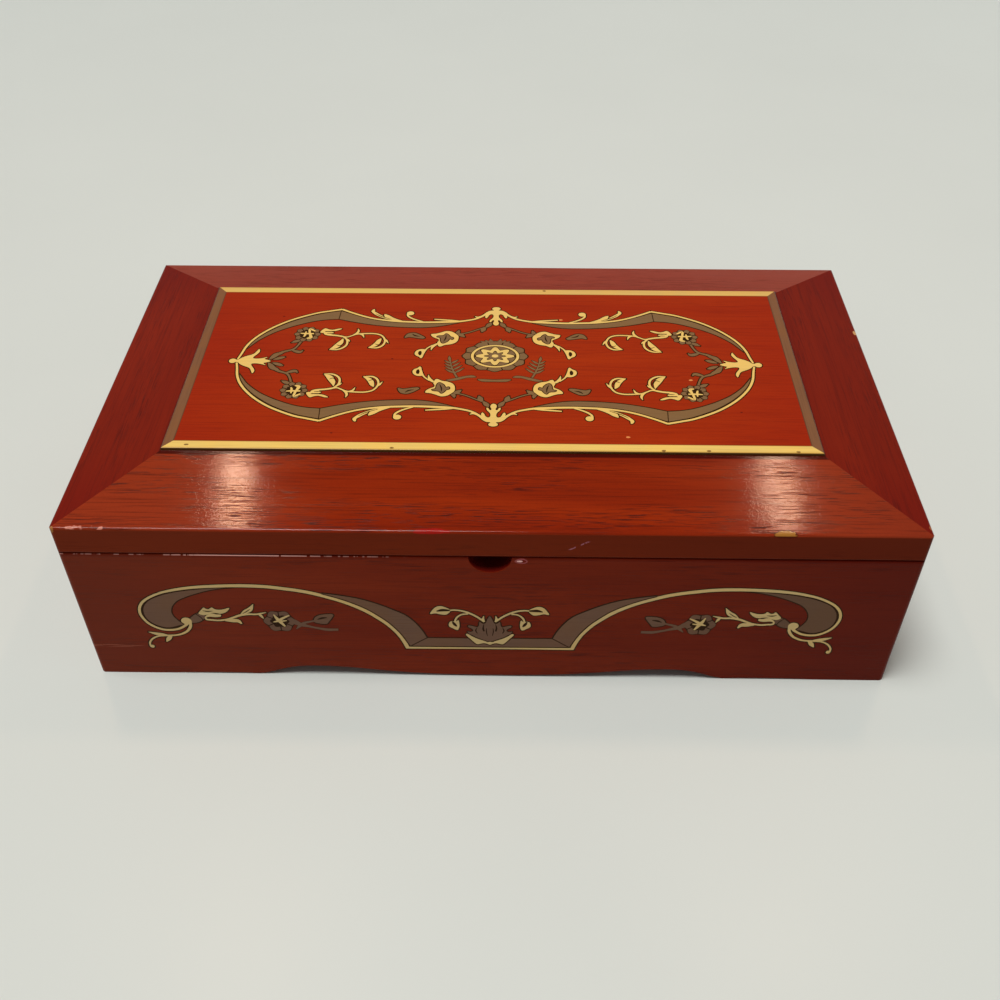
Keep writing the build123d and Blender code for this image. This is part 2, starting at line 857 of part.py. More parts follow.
moulding_height = mirror_thickness + lip_thickness
with BuildPart() as mirror_frame:
    with BuildSketch(Plane.XY.offset(mirror_bottom - lip_thickness)):
        Rectangle(mirror_length + 2 * moulding_width, mirror_width + 2 * moulding_width)
        Rectangle(
            mirror_length - 2 * moulding_lip, mirror_width - 2 * moulding_lip, mode=Mode.SUBTRACT
        )
    extrude(amount=moulding_height)
    with BuildSketch(Plane.XY.offset(mirror_bottom)):
        Rectangle(mirror_length + 2 * mirror_play, mirror_width + 2 * mirror_play)
    extrude(amount=mirror_thickness, mode=Mode.SUBTRACT)
mirror_frame.part.label = "mirror_frame"
export_step(mirror_frame.part, "parts/mirror_frame.step")

# Movement: bedplate with the comb's seat cast on it
peg_tip_radius = cylinder_radius + peg_height
comb_tip_y = -(peg_tip_radius + comb_tip_gap)
comb_back_y = comb_tip_y - comb_back
seat_top = shaft_height - comb_thickness / 2
seat_front_y = comb_back_y + comb_seat_width
cylinder_end = cylinder_start + cylinder_length
cylinder_middle = (cylinder_start + cylinder_end) / 2
comb_screw = screw_body(
    comb_screw_head_radius, comb_screw_head_height, comb_screw_radius, comb_screw_length
)
comb_screw_places = [
    Location(
        at(
            cylinder_middle + place * comb_screw_spacing,
            comb_back_y + comb_seat_width / 2,
            seat_top + comb_thickness,
        )
    )
    for place in (-1, 0, 1)
]

# Brackets on the bedplate: their feet take small screws
gear_start = cylinder_end + gear_gap
left_bearing_right = cylinder_start - bearing_gap
right_bearing_left = gear_start + gear_thickness + bearing_gap
right_bearing_right = right_bearing_left + bearing_thickness
bracket_screw = screw_body(
    bracket_screw_head_radius,
    bracket_screw_head_height,
    bracket_screw_radius,
    bracket_screw_length,
)
frame_front = governor_y - frame_front_margin
frame_back = worm_y + frame_back_margin
guide_back = rod_y + guide_plate_offset + guide_thickness
guide_foot_front = frame_back + guide_gap
bracket_screw_places = [
    Location(at(x, y, bearing_foot_thickness))
    for x, y in (
        (left_bearing_right + bearing_foot / 2, 0),
        (right_bearing_right + bearing_foot / 2, 0),
        (frame_left + frame_thickness + bracket_screw_inset, frame_back - bracket_screw_inset),
        (worm_wheel_x, frame_front + bracket_screw_inset),
        (rod_x, guide_foot_front + bracket_screw_inset),
    )
]

with BuildPart() as bedplate:
    with BuildSketch(Plane.XY.offset(board_top)):
        with Locations(at(plate_middle_x, (plate_front + plate_back) / 2, 0)[:2]):
            RectangleRounded(
                plate_right - plate_left, plate_back - plate_front, plate_corner_radius
            )
        with Locations(at(arbor_x, 0, 0)[:2]):
            Circle(arbor_hole_radius, mode=Mode.SUBTRACT)
    extrude(amount=plate_thickness)
    with Locations(at(cylinder_start, comb_back_y, 0)):
        Box(
            cylinder_length,
            comb_seat_width,
            seat_top,
            align=(Align.MIN, Align.MIN, Align.MIN),
        )
    with Locations(*movement_screw_places):
        add(movement_screw, mode=Mode.SUBTRACT)
    with Locations(*comb_screw_places):
        add(comb_screw, mode=Mode.SUBTRACT)
    with Locations(*bracket_screw_places):
        add(bracket_screw, mode=Mode.SUBTRACT)
bedplate.part.label = "bedplate"
export_step(bedplate.part, "parts/bedplate.step")

slotted_bracket_screw = slotted(
    bracket_screw, bracket_screw_head_radius, bracket_screw_head_height
)
with BuildPart() as bracket_screws:
    with Locations(*bracket_screw_places):
        add(slotted_bracket_screw)
bracket_screws.part.label = "bracket_screws"
export_step(bracket_screws.part, "parts/bracket_screws.step")

slotted_comb_screw = slotted(comb_screw, comb_screw_head_radius, comb_screw_head_height)
with BuildPart() as comb_screws:
    with Locations(*comb_screw_places):
        add(slotted_comb_screw)
comb_screws.part.label = "comb_screws"
export_step(comb_screws.part, "parts/comb_screws.step")

# Spring housing, a can that is closed by the bedplate
arbor_axis = at(arbor_x, 0, 0)
with BuildPart() as spring_housing:
    with Locations(arbor_axis):
        Cylinder(housing_radius, housing_height, align=(Align.CENTER, Align.CENTER, Align.MIN))
        Cylinder(
            housing_radius - housing_wall,
            housing_height - housing_wall,
            align=(Align.CENTER, Align.CENTER, Align.MIN),
            mode=Mode.SUBTRACT,
        )
        Cylinder(
            arbor_hole_radius,
            housing_height,
            align=(Align.CENTER, Align.CENTER, Align.MIN),
            mode=Mode.SUBTRACT,
        )
spring_housing.part.label = "spring_housing"
export_step(spring_housing.part, "parts/spring_housing.step")

# Mainspring: a flat strip of half turns, each a step wider than the last
strip_height = housing_height - housing_wall - 2 * strip_end_gap
half_turns = 2 * strip_turns
half_step = strip_pitch / 2
with BuildPart() as mainspring:
    with BuildSketch(Plane(at(arbor_x, 0, strip_end_gap))):
        with BuildLine():
            for half_turn in range(half_turns):
                radius = strip_first_radius + half_turn * half_step
                centre = (half_step * (half_turn % 2), 0)
                start = 180 * (half_turn % 2)
                CenterArc(centre, radius - spring_strip / 2, start, 180)
                CenterArc(centre, radius + spring_strip / 2, start, 180)
            last_centre = half_step * ((half_turns - 1) % 2)
            last_radius = strip_first_radius + (half_turns - 1) * half_step
            for end_x in (strip_first_radius, last_centre + last_radius):
                Line((end_x - spring_strip / 2, 0), (end_x + spring_strip / 2, 0))
        make_face()
    extrude(amount=strip_height)
mainspring.part.label = "mainspring"
export_step(mainspring.part, "parts/mainspring.step")

# Winding arbor, key and crown wheel turn as one
arbor_bottom = board_bottom - key_hub_gap - key_socket_depth
arbor_top = plate_top + crown_root + arbor_end
with BuildPart() as winding_arbor:
    with Locations((arbor_axis[0], arbor_axis[1], arbor_bottom)):
        Cylinder(
            winding_arbor_radius,
            arbor_top - arbor_bottom,
            align=(Align.CENTER, Align.CENTER, Align.MIN),
        )
winding_arbor.part.label = "winding_arbor"
export_step(winding_arbor.part, "parts/winding_arbor.step")

key_top = board_bottom - key_hub_gap
with BuildPart() as winding_key:
    key_origin = (arbor_axis[0], arbor_axis[1], key_floor_gap)
    with BuildSketch(Plane(key_origin, x_dir=(1, 0, 0), z_dir=(0, -1, 0))):
        with Locations((0, key_wing_height / 2)):
            Rectangle(key_wing_reach, key_waist)
        with Locations(
            (-key_wing_reach + key_wing_height / 2, key_wing_height / 2),
            (key_wing_reach - key_wing_height / 2, key_wing_height / 2),
        ):
            Circle(key_wing_height / 2)
    extrude(amount=key_wing_thickness / 2, both=True)
    with Locations((arbor_axis[0], arbor_axis[1], key_top)):
        Cylinder(
            key_hub_radius, key_hub_height, align=(Align.CENTER, Align.CENTER, Align.MAX)
        )
    with Locations((arbor_axis[0], arbor_axis[1], arbor_bottom)):
        Cylinder(
            winding_arbor_radius,
            key_top - arbor_bottom,
            align=(Align.CENTER, Align.CENTER, Align.MIN),
            mode=Mode.SUBTRACT,
        )
winding_key.part.label = "winding_key"
export_step(winding_key.part, "parts/winding_key.step")

# A crown tooth is a wedge with its flanks along the wheel's radius
crown_tooth_pitch = 2 * pi * crown_pitch_radius / crown_teeth
crown_root_half = crown_root_share * crown_tooth_pitch
crown_tip_half = crown_tip_share * crown_tooth_pitch
crown_tooth_height = crown_dedendum + crown_addendum
crown_inner = crown_pitch_radius - crown_face / 2
crown_outer = crown_pitch_radius + crown_face / 2
with BuildPart() as crown_tooth:
    with BuildSketch(Plane((crown_inner, 0, 0), x_dir=(0, 1, 0), z_dir=(1, 0, 0))):
        with BuildLine():
            Polyline(
                (-crown_root_half, -crown_disc_thickness / 2),
                (-crown_root_half, 0),
                (-crown_tip_half, crown_tooth_height),
                (crown_tip_half, crown_tooth_height),
                (crown_root_half, 0),
                (crown_root_half, -crown_disc_thickness / 2),
                close=True,
            )
        make_face()
    extrude(amount=crown_face)

with BuildPart() as drive_wheel:
    with Locations(at(arbor_x, 0, crown_root)):
        Cylinder(
            crown_outer, crown_disc_thickness, align=(Align.CENTER, Align.CENTER, Align.MAX)
        )
        with PolarLocations(0, crown_teeth):
            add(crown_tooth.part)
        Cylinder(
            winding_arbor_radius, 2 * (crown_disc_thickness + crown_tooth_height), mode=Mode.SUBTRACT
        )
drive_wheel.part.label = "drive_wheel"
export_step(drive_wheel.part, "parts/drive_wheel.step")

# Cylinder with its pegs, in one row of tracks for each comb tooth
note_pitch = cylinder_length / comb_notes
with BuildPart() as cylinder:
    with BuildSketch(across(cylinder_start, 0, shaft_height)):
        Circle(cylinder_radius)
        Circle(cylinder_arbor_radius, mode=Mode.SUBTRACT)
    extrude(amount=cylinder_length)
    for track in range(comb_notes):
        track_x = cylinder_start + (track + 0.5) * note_pitch
        with Locations(Plane(at(track_x, 0, shaft_height), x_dir=(0, 1, 0), z_dir=(1, 0, 0))):
            with PolarLocations(
                cylinder_radius + peg_height / 2 - peg_radius, pegs_per_track, peg_step_angle * track
            ):
                Cylinder(peg_radius, peg_height + 2 * peg_radius, rotation=(0, 90, 0))
cylinder.part.label = "cylinder"
export_step(cylinder.part, "parts/cylinder.step")

# The cylinder's arbor has the pinion cut on it, over the crown wheel's rim
pinion_middle = arbor_x + crown_pitch_radius
pinion_start = pinion_middle - pinion_face / 2
pinion_corners = toothed_outline(
    pinion_teeth,
    pinion_pitch_radius,
    pinion_addendum,
    pinion_dedendum,
    pinion_shares,
    180 / pinion_teeth - 90,
)
with BuildPart() as cylinder_arbor:
    with BuildSketch(across(pinion_start, 0, shaft_height)):
        Circle(cylinder_arbor_radius)
    extrude(amount=right_bearing_right - pinion_start)
    with BuildSketch(across(pinion_start, 0, shaft_height)):
        Polygon(*pinion_corners, align=None)
    extrude(amount=pinion_face)
cylinder_arbor.part.label = "cylinder_arbor"
export_step(cylinder_arbor.part, "parts/cylinder_arbor.step")

gear_corners = toothed_outline(
    gear_teeth,
    gear_pitch_radius,
    gear_addendum,
    gear_dedendum,
    gear_shares,
    -governor_drop_angle,
)
with BuildPart() as cylinder_gear:
    with BuildSketch(across(gear_start, 0, shaft_height)):
        Polygon(*gear_corners, align=None)
        Circle(cylinder_arbor_radius, mode=Mode.SUBTRACT)
    extrude(amount=gear_thickness)
cylinder_gear.part.label = "cylinder_gear"
export_step(cylinder_gear.part, "parts/cylinder_gear.step")

# Cylinder bearings: an upright plate with a round head, on a screwed foot
bearings = (("left_bearing", left_bearing_right), ("right_bearing", right_bearing_right))
for name, right_face in bearings:
    with BuildPart() as bearing:
        with BuildSketch(across(right_face, 0, shaft_height)):
            Circle(bearing_width / 2)
            with Locations((0, -shaft_height / 2)):
                Rectangle(bearing_width, shaft_height)
            Circle(cylinder_arbor_radius + running_clearance, mode=Mode.SUBTRACT)
        extrude(amount=-bearing_thickness)
        with Locations(at(right_face, 0, 0)):
            Box(
                bearing_foot,
                bearing_width,
                bearing_foot_thickness,
                align=(Align.MIN, Align.CENTER, Align.MIN),
            )
        with Locations(*bracket_screw_places[:2]):
            add(bracket_screw, mode=Mode.SUBTRACT)
    bearing.part.label = name
    export_step(bearing.part, f"parts/{name}.step")

# Comb: a steel plate with one tongue for each track, longest in the bass
comb_notes_x = [cylinder_start + (note + 0.5) * note_pitch for note in range(comb_notes)]
with BuildPart() as comb:
    with BuildSketch(Plane(at(0, 0, seat_top))):
        with BuildLine():
            Polyline(
                (cylinder_start, comb_back_y),
                (cylinder_end, comb_back_y),
                (cylinder_end, comb_tip_y - treble_length),
                (cylinder_start, comb_tip_y - bass_length),
                close=True,
            )
        make_face()
        for note_x in comb_notes_x:
            with Locations((note_x, comb_tip_y)):
                Rectangle(comb_note_width, bass_length, align=(Align.CENTER, Align.MAX))
    extrude(amount=comb_thickness)
    with Locations(*comb_screw_places):
        add(comb_screw, mode=Mode.SUBTRACT)
comb.part.label = "comb"
export_step(comb.part, "parts/comb.step")

# Governor frame: a foot, a tall left arm with the top bridge, and a short right arm
with BuildPart() as governor_frame:
    frame_depth = frame_back - frame_front
    corner = (Align.MIN, Align.MIN, Align.MIN)
    tall_front = worm_y - frame_back_margin
    with Locations(at(frame_left, frame_front, 0)):
        Box(frame_right - frame_left, frame_depth, bearing_foot_thickness, align=corner)
        Box(frame_thickness, frame_depth, frame_low_top, align=corner)
    with Locations(at(frame_right - frame_thickness, frame_front, 0)):
        Box(frame_thickness, frame_depth, frame_low_top, align=corner)
    with Locations(at(frame_left, tall_front, 0)):
        Box(frame_thickness, frame_back - tall_front, frame_top, align=corner)
    with Locations(at(frame_left, tall_front, frame_top - frame_thickness)):
        Box(frame_right - frame_left, frame_back - tall_front, frame_thickness, align=corner)
    with BuildSketch(across(frame_left, governor_y, governor_z)):
        Circle(governor_arbor_radius + running_clearance)
    extrude(amount=frame_right - frame_left, mode=Mode.SUBTRACT)
    with BuildSketch(Plane(at(worm_wheel_x, worm_y, 0))):
        Circle(spindle_radius + running_clearance)
    extrude(amount=frame_top, mode=Mode.SUBTRACT)
    with Locations(*bracket_screw_places[2:4]):
        add(bracket_screw, mode=Mode.SUBTRACT)
governor_frame.part.label = "governor_frame"
export_step(governor_frame.part, "parts/governor_frame.step")

governor_corners = toothed_outline(
    governor_pinion_teeth,
    governor_pitch_radius,
    gear_addendum,
    gear_dedendum,
    governor_pinion_shares,
    180 - governor_drop_angle + 180 / governor_pinion_teeth,
)
worm_wheel_corners = toothed_outline(
    worm_wheel_teeth,
    worm_wheel_radius,
    gear_addendum,
    gear_dedendum,
    worm_wheel_shares,
    180 / worm_wheel_teeth,
)
with BuildPart() as governor_wheel:
    with BuildSketch(across(frame_left, governor_y, governor_z)):
        Circle(governor_arbor_radius)
    extrude(amount=frame_right - frame_left)
    with BuildSketch(across(gear_start - governor_pinion_overhang, governor_y, governor_z)):
        Polygon(*governor_corners, align=None)
    extrude(amount=gear_thickness + 2 * governor_pinion_overhang)
    with BuildSketch(across(worm_wheel_x - worm_wheel_thickness / 2, governor_y, governor_z)):
        Polygon(*worm_wheel_corners, align=None)
    extrude(amount=worm_wheel_thickness)
governor_wheel.part.label = "governor_wheel"
export_step(governor_wheel.part, "parts/governor_wheel.step")

# Worm: a right-hand thread that passes between two wheel teeth on its front side
worm_pitch = pi * gear_module
thread_start = governor_z - (worm_turns / 2 - 0.25) * worm_pitch
worm_core = worm_radius - gear_dedendum
worm_path_radius = worm_core - thread_sink
thread_depth = gear_addendum + gear_dedendum + thread_sink
with BuildPart() as governor_worm:
    with Locations(at(worm_wheel_x, worm_y, 0)):
        Cylinder(spindle_radius, frame_top, align=(Align.CENTER, Align.CENTER, Align.MIN))
    with Locations(at(worm_wheel_x, worm_y, governor_z)):
        Cylinder(worm_core, (worm_turns + 1) * worm_pitch)
    with BuildLine(Plane(at(worm_wheel_x, worm_y, thread_start))) as thread_line:
        thread = Helix(worm_pitch, worm_turns * worm_pitch, worm_path_radius)
    with BuildSketch(Plane(thread @ 0, x_dir=(1, 0, 0), z_dir=thread % 0)):
        with BuildLine():
            Polyline(
                (0, -thread_root_share * worm_pitch),
                (thread_depth, -thread_tip_share * worm_pitch),
                (thread_depth, thread_tip_share * worm_pitch),
                (0, thread_root_share * worm_pitch),
                close=True,
            )
        make_face()
    sweep(path=thread_line.line, is_frenet=True)
governor_worm.part.label = "governor_worm"
export_step(governor_worm.part, "parts/governor_worm.step")

with BuildPart() as fan:
    with Locations(at(worm_wheel_x, worm_y, fan_bottom)):
        Cylinder(fan_hub_radius, fan_height, align=(Align.CENTER, Align.CENTER, Align.MIN))
        Box(
            2 * fan_radius,
            fan_thickness,
            fan_height,
            align=(Align.CENTER, Align.CENTER, Align.MIN),
        )
        Cylinder(
            spindle_radius,
            fan_height,
            align=(Align.CENTER, Align.CENTER, Align.MIN),
            mode=Mode.SUBTRACT,
        )
fan.part.label = "fan"
export_step(fan.part, "parts/fan.step")

# Stop guide, rod, collar and spring
with BuildPart() as stop_guide:
    centred = (Align.CENTER, Align.MAX, Align.MIN)
    with Locations(at(rod_x, guide_back, 0)):
        Box(guide_width, guide_back - guide_foot_front, bearing_foot_thickness, align=centred)
        Box(guide_width, guide_thickness, upper_ear_height + guide_thickness, align=centred)
    for ear_height in (lower_ear_height, upper_ear_height):
        with Locations(at(rod_x, guide_back, ear_height)):
            Box(
                guide_width,
                guide_back - rod_y + 2 * rod_radius,
                guide_thickness,
                align=centred,
            )
    with BuildSketch(Plane(at(rod_x, rod_y, lower_ear_height))):
        Circle(rod_radius + running_clearance)
    extrude(amount=upper_ear_height, mode=Mode.SUBTRACT)
    with Locations(bracket_screw_places[4]):
        add(bracket_screw, mode=Mode.SUBTRACT)
stop_guide.part.label = "stop_guide"
export_step(stop_guide.part, "parts/stop_guide.step")

rod_top = lid_lining_bottom - rod_top_gap - plate_top
with BuildPart() as stop_rod:
    with Locations(at(rod_x, rod_y, rod_bottom)):
        Cylinder(rod_radius, rod_top - rod_bottom, align=(Align.CENTER, Align.CENTER, Align.MIN))
    fillet(stop_rod.edges().sort_by(Axis.Z)[-1], rod_radius / 2)
stop_rod.part.label = "stop_rod"
export_step(stop_rod.part, "parts/stop_rod.step")

collar_top = collar_bottom + collar_height
tongue_reach = rod_from_fan_axis - fan_radius - fan_gap
with BuildPart() as stop_collar:
    with Locations(at(rod_x, rod_y, collar_bottom)):
        Cylinder(collar_radius, collar_height, align=(Align.CENTER, Align.CENTER, Align.MIN))
    with Locations(at(rod_x, rod_y, collar_top)):
        Box(tongue_width, tongue_reach, tongue_height, align=(Align.CENTER, Align.MAX, Align.MAX))
    with Locations(at(rod_x, rod_y, collar_bottom)):
        Cylinder(
            rod_radius,
            collar_height,
            align=(Align.CENTER, Align.CENTER, Align.MIN),
            mode=Mode.SUBTRACT,
        )
stop_collar.part.label = "stop_collar"
export_step(stop_collar.part, "parts/stop_collar.step")

spring_seat = lower_ear_height + guide_thickness + stop_wire_radius + coil_end_gap
spring_rise = collar_bottom - spring_seat - stop_wire_radius - coil_end_gap
with BuildPart() as stop_spring:
    with BuildLine(Plane(at(rod_x, rod_y, spring_seat))) as coil_line:
        coil = Helix(spring_rise / stop_coil_turns, spring_rise, stop_coil_radius)
    with BuildSketch(Plane(coil @ 0, x_dir=(1, 0, 0), z_dir=coil % 0)):
        Circle(stop_wire_radius)
    sweep(path=coil_line.line, is_frenet=True)
stop_spring.part.label = "stop_spring"
export_step(stop_spring.part, "parts/stop_spring.step")

# Ratios of the train and the lid's travel, for the joints
crown_ratio = crown_teeth / pinion_teeth
governor_ratio = gear_teeth / governor_pinion_teeth
print("cylinder turns for each turn of the key", crown_ratio)
print("governor turns for each turn of the cylinder", -governor_ratio)
print("fan turns for each turn of the cylinder", governor_ratio * worm_wheel_teeth)
print("lid pivot", (0, pivot_y, base_height), "stop angle", lid_stop_angle)
print("winding axis", arbor_axis)
print("cylinder axis", at(0, 0, shaft_height))
print("governor axis", at(0, governor_y, governor_z))
print("fan axis", at(worm_wheel_x, worm_y, 0))
print("stop rod axis", at(rod_x, rod_y, 0), "travel", rod_travel)
print("stop spring seat", plate_top + spring_seat)
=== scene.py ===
import math

import bmesh
import bpy
import numpy as np
from mathutils import Matrix, Vector


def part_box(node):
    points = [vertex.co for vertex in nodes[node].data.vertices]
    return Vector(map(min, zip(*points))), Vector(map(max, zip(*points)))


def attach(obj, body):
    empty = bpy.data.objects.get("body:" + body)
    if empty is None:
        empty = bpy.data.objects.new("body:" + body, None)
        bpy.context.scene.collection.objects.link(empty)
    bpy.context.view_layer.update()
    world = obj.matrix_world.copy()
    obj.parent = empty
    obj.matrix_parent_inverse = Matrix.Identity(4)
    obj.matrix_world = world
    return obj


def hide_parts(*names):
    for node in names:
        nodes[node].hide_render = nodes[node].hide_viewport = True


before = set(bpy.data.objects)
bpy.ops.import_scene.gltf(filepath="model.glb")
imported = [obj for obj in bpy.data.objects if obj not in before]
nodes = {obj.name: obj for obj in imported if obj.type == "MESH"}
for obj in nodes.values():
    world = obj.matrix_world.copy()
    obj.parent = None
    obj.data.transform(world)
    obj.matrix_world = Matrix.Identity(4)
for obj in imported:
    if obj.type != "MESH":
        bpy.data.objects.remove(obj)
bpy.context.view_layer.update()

mm = 0.001
print("frame loaded,", len(nodes), "pieces")


# Camera first
camera = {
    "place": (0.007154, -0.36175, 0.346436),
    "pitch": 42.635,      # degrees below the horizon
    "yaw": -0.769,
    "roll": 0.023,
    "lens": 40.29,        # millimetres, as the sensor's width
    "sensor": 36,
    "clip": (0.01, 40),
}


def makeCamera(settings):
    pitch, yaw, roll = (math.radians(settings[k]) for k in ("pitch", "yaw", "roll"))
    forward = Vector((math.sin(yaw) * math.cos(pitch), math.cos(yaw) * math.cos(pitch), -math.sin(pitch)))
    right = Vector((math.cos(yaw), -math.sin(yaw), 0))
    up = right.cross(forward)
    turned = right * math.cos(roll) + up * math.sin(roll)
    upright = up * math.cos(roll) - right * math.sin(roll)
    data = bpy.data.cameras.new("photoCamera")
    data.lens = settings["lens"]
    data.sensor_width = settings["sensor"]
    data.clip_start, data.clip_end = settings["clip"]
    eye = bpy.data.objects.new("photoCamera", data)
    turn = Matrix((turned, upright, -forward)).transposed()
    eye.matrix_world = Matrix.Translation(settings["place"]) @ turn.to_4x4()
    bpy.context.scene.collection.objects.link(eye)
    bpy.context.scene.camera = eye


makeCamera(camera)


# Shader maths
class Signal:
    # One output socket. Arithmetic on it adds Math nodes.
    def __init__(self, finish, socket):
        self.finish, self.socket = finish, socket

    def maths(self, operation, *others):
        inputs = dict(enumerate((self, *others)))
        return self.finish.node("ShaderNodeMath", {"operation": operation}, inputs)

    def __add__(self, other):
        return self.maths("ADD", other)

    def __sub__(self, other):
        return self.maths("SUBTRACT", other)

    def __mul__(self, other):
        return self.maths("MULTIPLY", other)

    def __radd__(self, other):
        return self.maths("ADD", other)

    def __rmul__(self, other):
        return self.maths("MULTIPLY", other)

    def __rsub__(self, other):
        return self.finish.node("ShaderNodeMath", {"operation": "SUBTRACT"}, {0: other, 1: self})

    def __abs__(self):
        return self.maths("ABSOLUTE")

    def step(self, low, high):
        # 0 at low, 1 at high, smooth between; low may be the larger
        settings = {"interpolation_type": "SMOOTHSTEP"}
        inputs = {"Value": self, "From Min": low, "From Max": high}
        return self.finish.node("ShaderNodeMapRange", settings, inputs)

    def most(self, other):
        return self.maths("MAXIMUM", other)

    def root(self):
        return self.maths("SQRT")


class Finish:
    # A material, or the world, as a tree of nodes laid out in rows
    wide, high, columns = 220, 180, 9

    def __init__(self, owner):
        self.owner = owner
        owner.use_nodes = True
        self.tree = owner.node_tree
        self.tree.nodes.clear()
        self.count = 0

    def node(self, kind, settings=None, inputs=None, output=0):
        made = self.tree.nodes.new(kind)
        row, column = divmod(self.count, self.columns)
        made.location = (self.wide * column, -self.high * row)
        self.count += 1
        for name, value in (settings or {}).items():
            setattr(made, name, value)
        for name, value in (inputs or {}).items():
            socket = made.inputs[name]
            if isinstance(value, Signal):
                self.tree.links.new(value.socket, socket)
            elif isinstance(value, tuple):
                width = len(socket.default_value)
                socket.default_value = (*value, 1)[:width] if len(value) < width else value
            else:
                socket.default_value = value
        return Signal(self, made.outputs[output])

    def axes(self):
        # x, y and z of the piece, in millimetres
        place = self.node("ShaderNodeTexCoord", output=3)
        parts = self.node("ShaderNodeSeparateXYZ", inputs={0: place})
        return [Signal(self, parts.socket.node.outputs[i]) * 1000 for i in range(3)]

    def noise(self, stretch, detail=2.0, rough=0.5, shift=(0, 0, 0), warp=0.0):
        # Noise of the Object coordinates times a stretch for each axis, in cells to a metre
        place = self.node("ShaderNodeTexCoord", output=3)
        grown = self.node("ShaderNodeMapping", inputs={"Vector": place, "Scale": stretch, "Location": shift})
        inputs = {"Vector": grown, "Scale": 1.0, "Detail": detail, "Roughness": rough, "Distortion": warp}
        return self.node("ShaderNodeTexNoise", {"noise_dimensions": "3D"}, inputs)

    def mix(self, low, high, share):
        made = self.node("ShaderNodeMix", {"data_type": "RGBA"}, {"Factor": share}, output=2)
        for name, value in (("A", low), ("B", high)):
            socket = [s for s in made.socket.node.inputs if s.name == name and s.type == "RGBA"][0]
            if isinstance(value, Signal):
                self.tree.links.new(value.socket, socket)
            else:
                socket.default_value = (*value, 1)
        return made

    def bump(self, height, strength, distance):
        inputs = {"Height": height, "Strength": strength, "Distance": distance}
        return self.node("ShaderNodeBump", inputs=inputs)

    def spot(self, centre, reach, ragged=0.35, cells=900):
        # 1 inside an ellipsoid with a ragged edge, 0 outside: the distance is the root of the summed
        # squares of (place - centre) / reach
        total = 0
        for axis, middle, size in zip(self.axes(), centre, reach):
            away = (axis - middle) * (1 / size)
            total = away * away + total
        edge = self.noise((cells, cells, cells), 2, 0.6) - 0.5
        return (total.root() + edge * (2 * ragged)).step(1.06, 0.94)

    def shader(self, **sockets):
        inputs = {name.replace("_", " "): value for name, value in sockets.items()}
        return self.node("ShaderNodeBsdfPrincipled", inputs=inputs)

    def surface(self, **sockets):
        self.close(self.shader(**sockets), "ShaderNodeOutputMaterial")
        return self.owner

    def close(self, shader, kind):
        end = self.tree.nodes.new(kind)
        end.location = (self.wide * self.columns, 0)
        self.tree.links.new(shader.socket, end.inputs["Surface"])


def newFinish(name):
    return Finish(bpy.data.materials.new(name))


def linear(colour, share=1.0):
    # A share of a colour as read off a screen, made linear
    return tuple(((c * share / 255 + 0.055) / 1.055) ** 2.4 if c * share > 10 else c * share / 255 / 12.92
                 for c in colour)


# Lacquered wood
lacquers = {
    # light and dark are the wood's two tones, the end tone lies towards the ends (between the two end
    # distances in millimetres along the grain), streak the pores and fibres. The end tone is thick stain on
    # most pieces; on the long rails it is partly stain and partly painted reflection, a hazier red
    "wallLacquer": {
        "light": (131, 41, 12), "dark": (111, 29, 7), "endStainAndHaze": (107, 28, 8), "streak": (68, 15, 6),
        "along": 0, "pores": 0.6, "gloss": 0.2, "shine": 0.05, "endsFrom": 90, "endsTo": 165, "shift": 0.3,
    },
    "sideLacquer": {
        "light": (128, 37, 12), "dark": (110, 27, 8), "endStainAndHaze": (98, 21, 8), "streak": (58, 13, 6),
        "along": 1, "pores": 0.55, "gloss": 0.2, "shine": 0.12, "endsFrom": 60, "endsTo": 100, "shift": 2.1,
    },
    "longRailLacquer": {
        # the end tone here is partly painted reflection: a hazier red towards both ends
        "light": (154, 46, 8), "dark": (126, 31, 6), "endStainAndHaze": (146, 52, 25), "streak": (52, 10, 6),
        "along": 0, "pores": 0.85, "gloss": 0.07, "shine": 0.14, "endsFrom": 45, "endsTo": 120, "shift": 1.3,
    },
    "shortRailLacquer": {
        "light": (128, 31, 8), "dark": (112, 23, 6), "endStainAndHaze": (114, 20, 6), "streak": (74, 14, 6),
        "along": 1, "pores": 0.55, "gloss": 0.10, "shine": 0.13, "endsFrom": 50, "endsTo": 100, "shift": 3.9,
    },
    "panelLacquer": {
        "light": (168, 51, 8), "dark": (156, 41, 6), "endStainAndHaze": (152, 36, 8), "streak": (112, 22, 6),
        "along": 0, "pores": 0.25, "gloss": 0.10, "shine": 0.14, "endsFrom": 60, "endsTo": 130, "shift": 5.5,
    },
}


varnish = {     # shares of the patterns in the tone, in the roughness and in the dents
    "figure": 0.55, "bands": 0.45, "burn": 0.85, "endsRagged": 30, "fibres": 0.48, "specks": 0.06,
    "roughPores": 0.22, "roughFibres": 0.04, "roughSpecks": 0.02, "roughFrom": -0.02, "dullRough": 0.25,
    "dullIndex": 1.1, "dentFibres": 0.08, "dentPores": 0.7, "dentSpecks": 0.3,
}
relief = {     # strength of the dents of each finish, and their depth in metres
    "lacquer": (0.35, 0.00003), "inlay": (0.1, 0.00002), "velvet": (0.6, 0.00025), "metal": (0.12, 0.00004),
    "bareWood": (0.5, 0.0001),
}
grain = {      # cells to a metre, along the grain and across it
    "figure": (7, 80), "bands": (2.5, 30), "fibres": (30, 1500), "pores": (110, 3000), "drift": (16, 120),
    "specks": (1250, 1250),
}


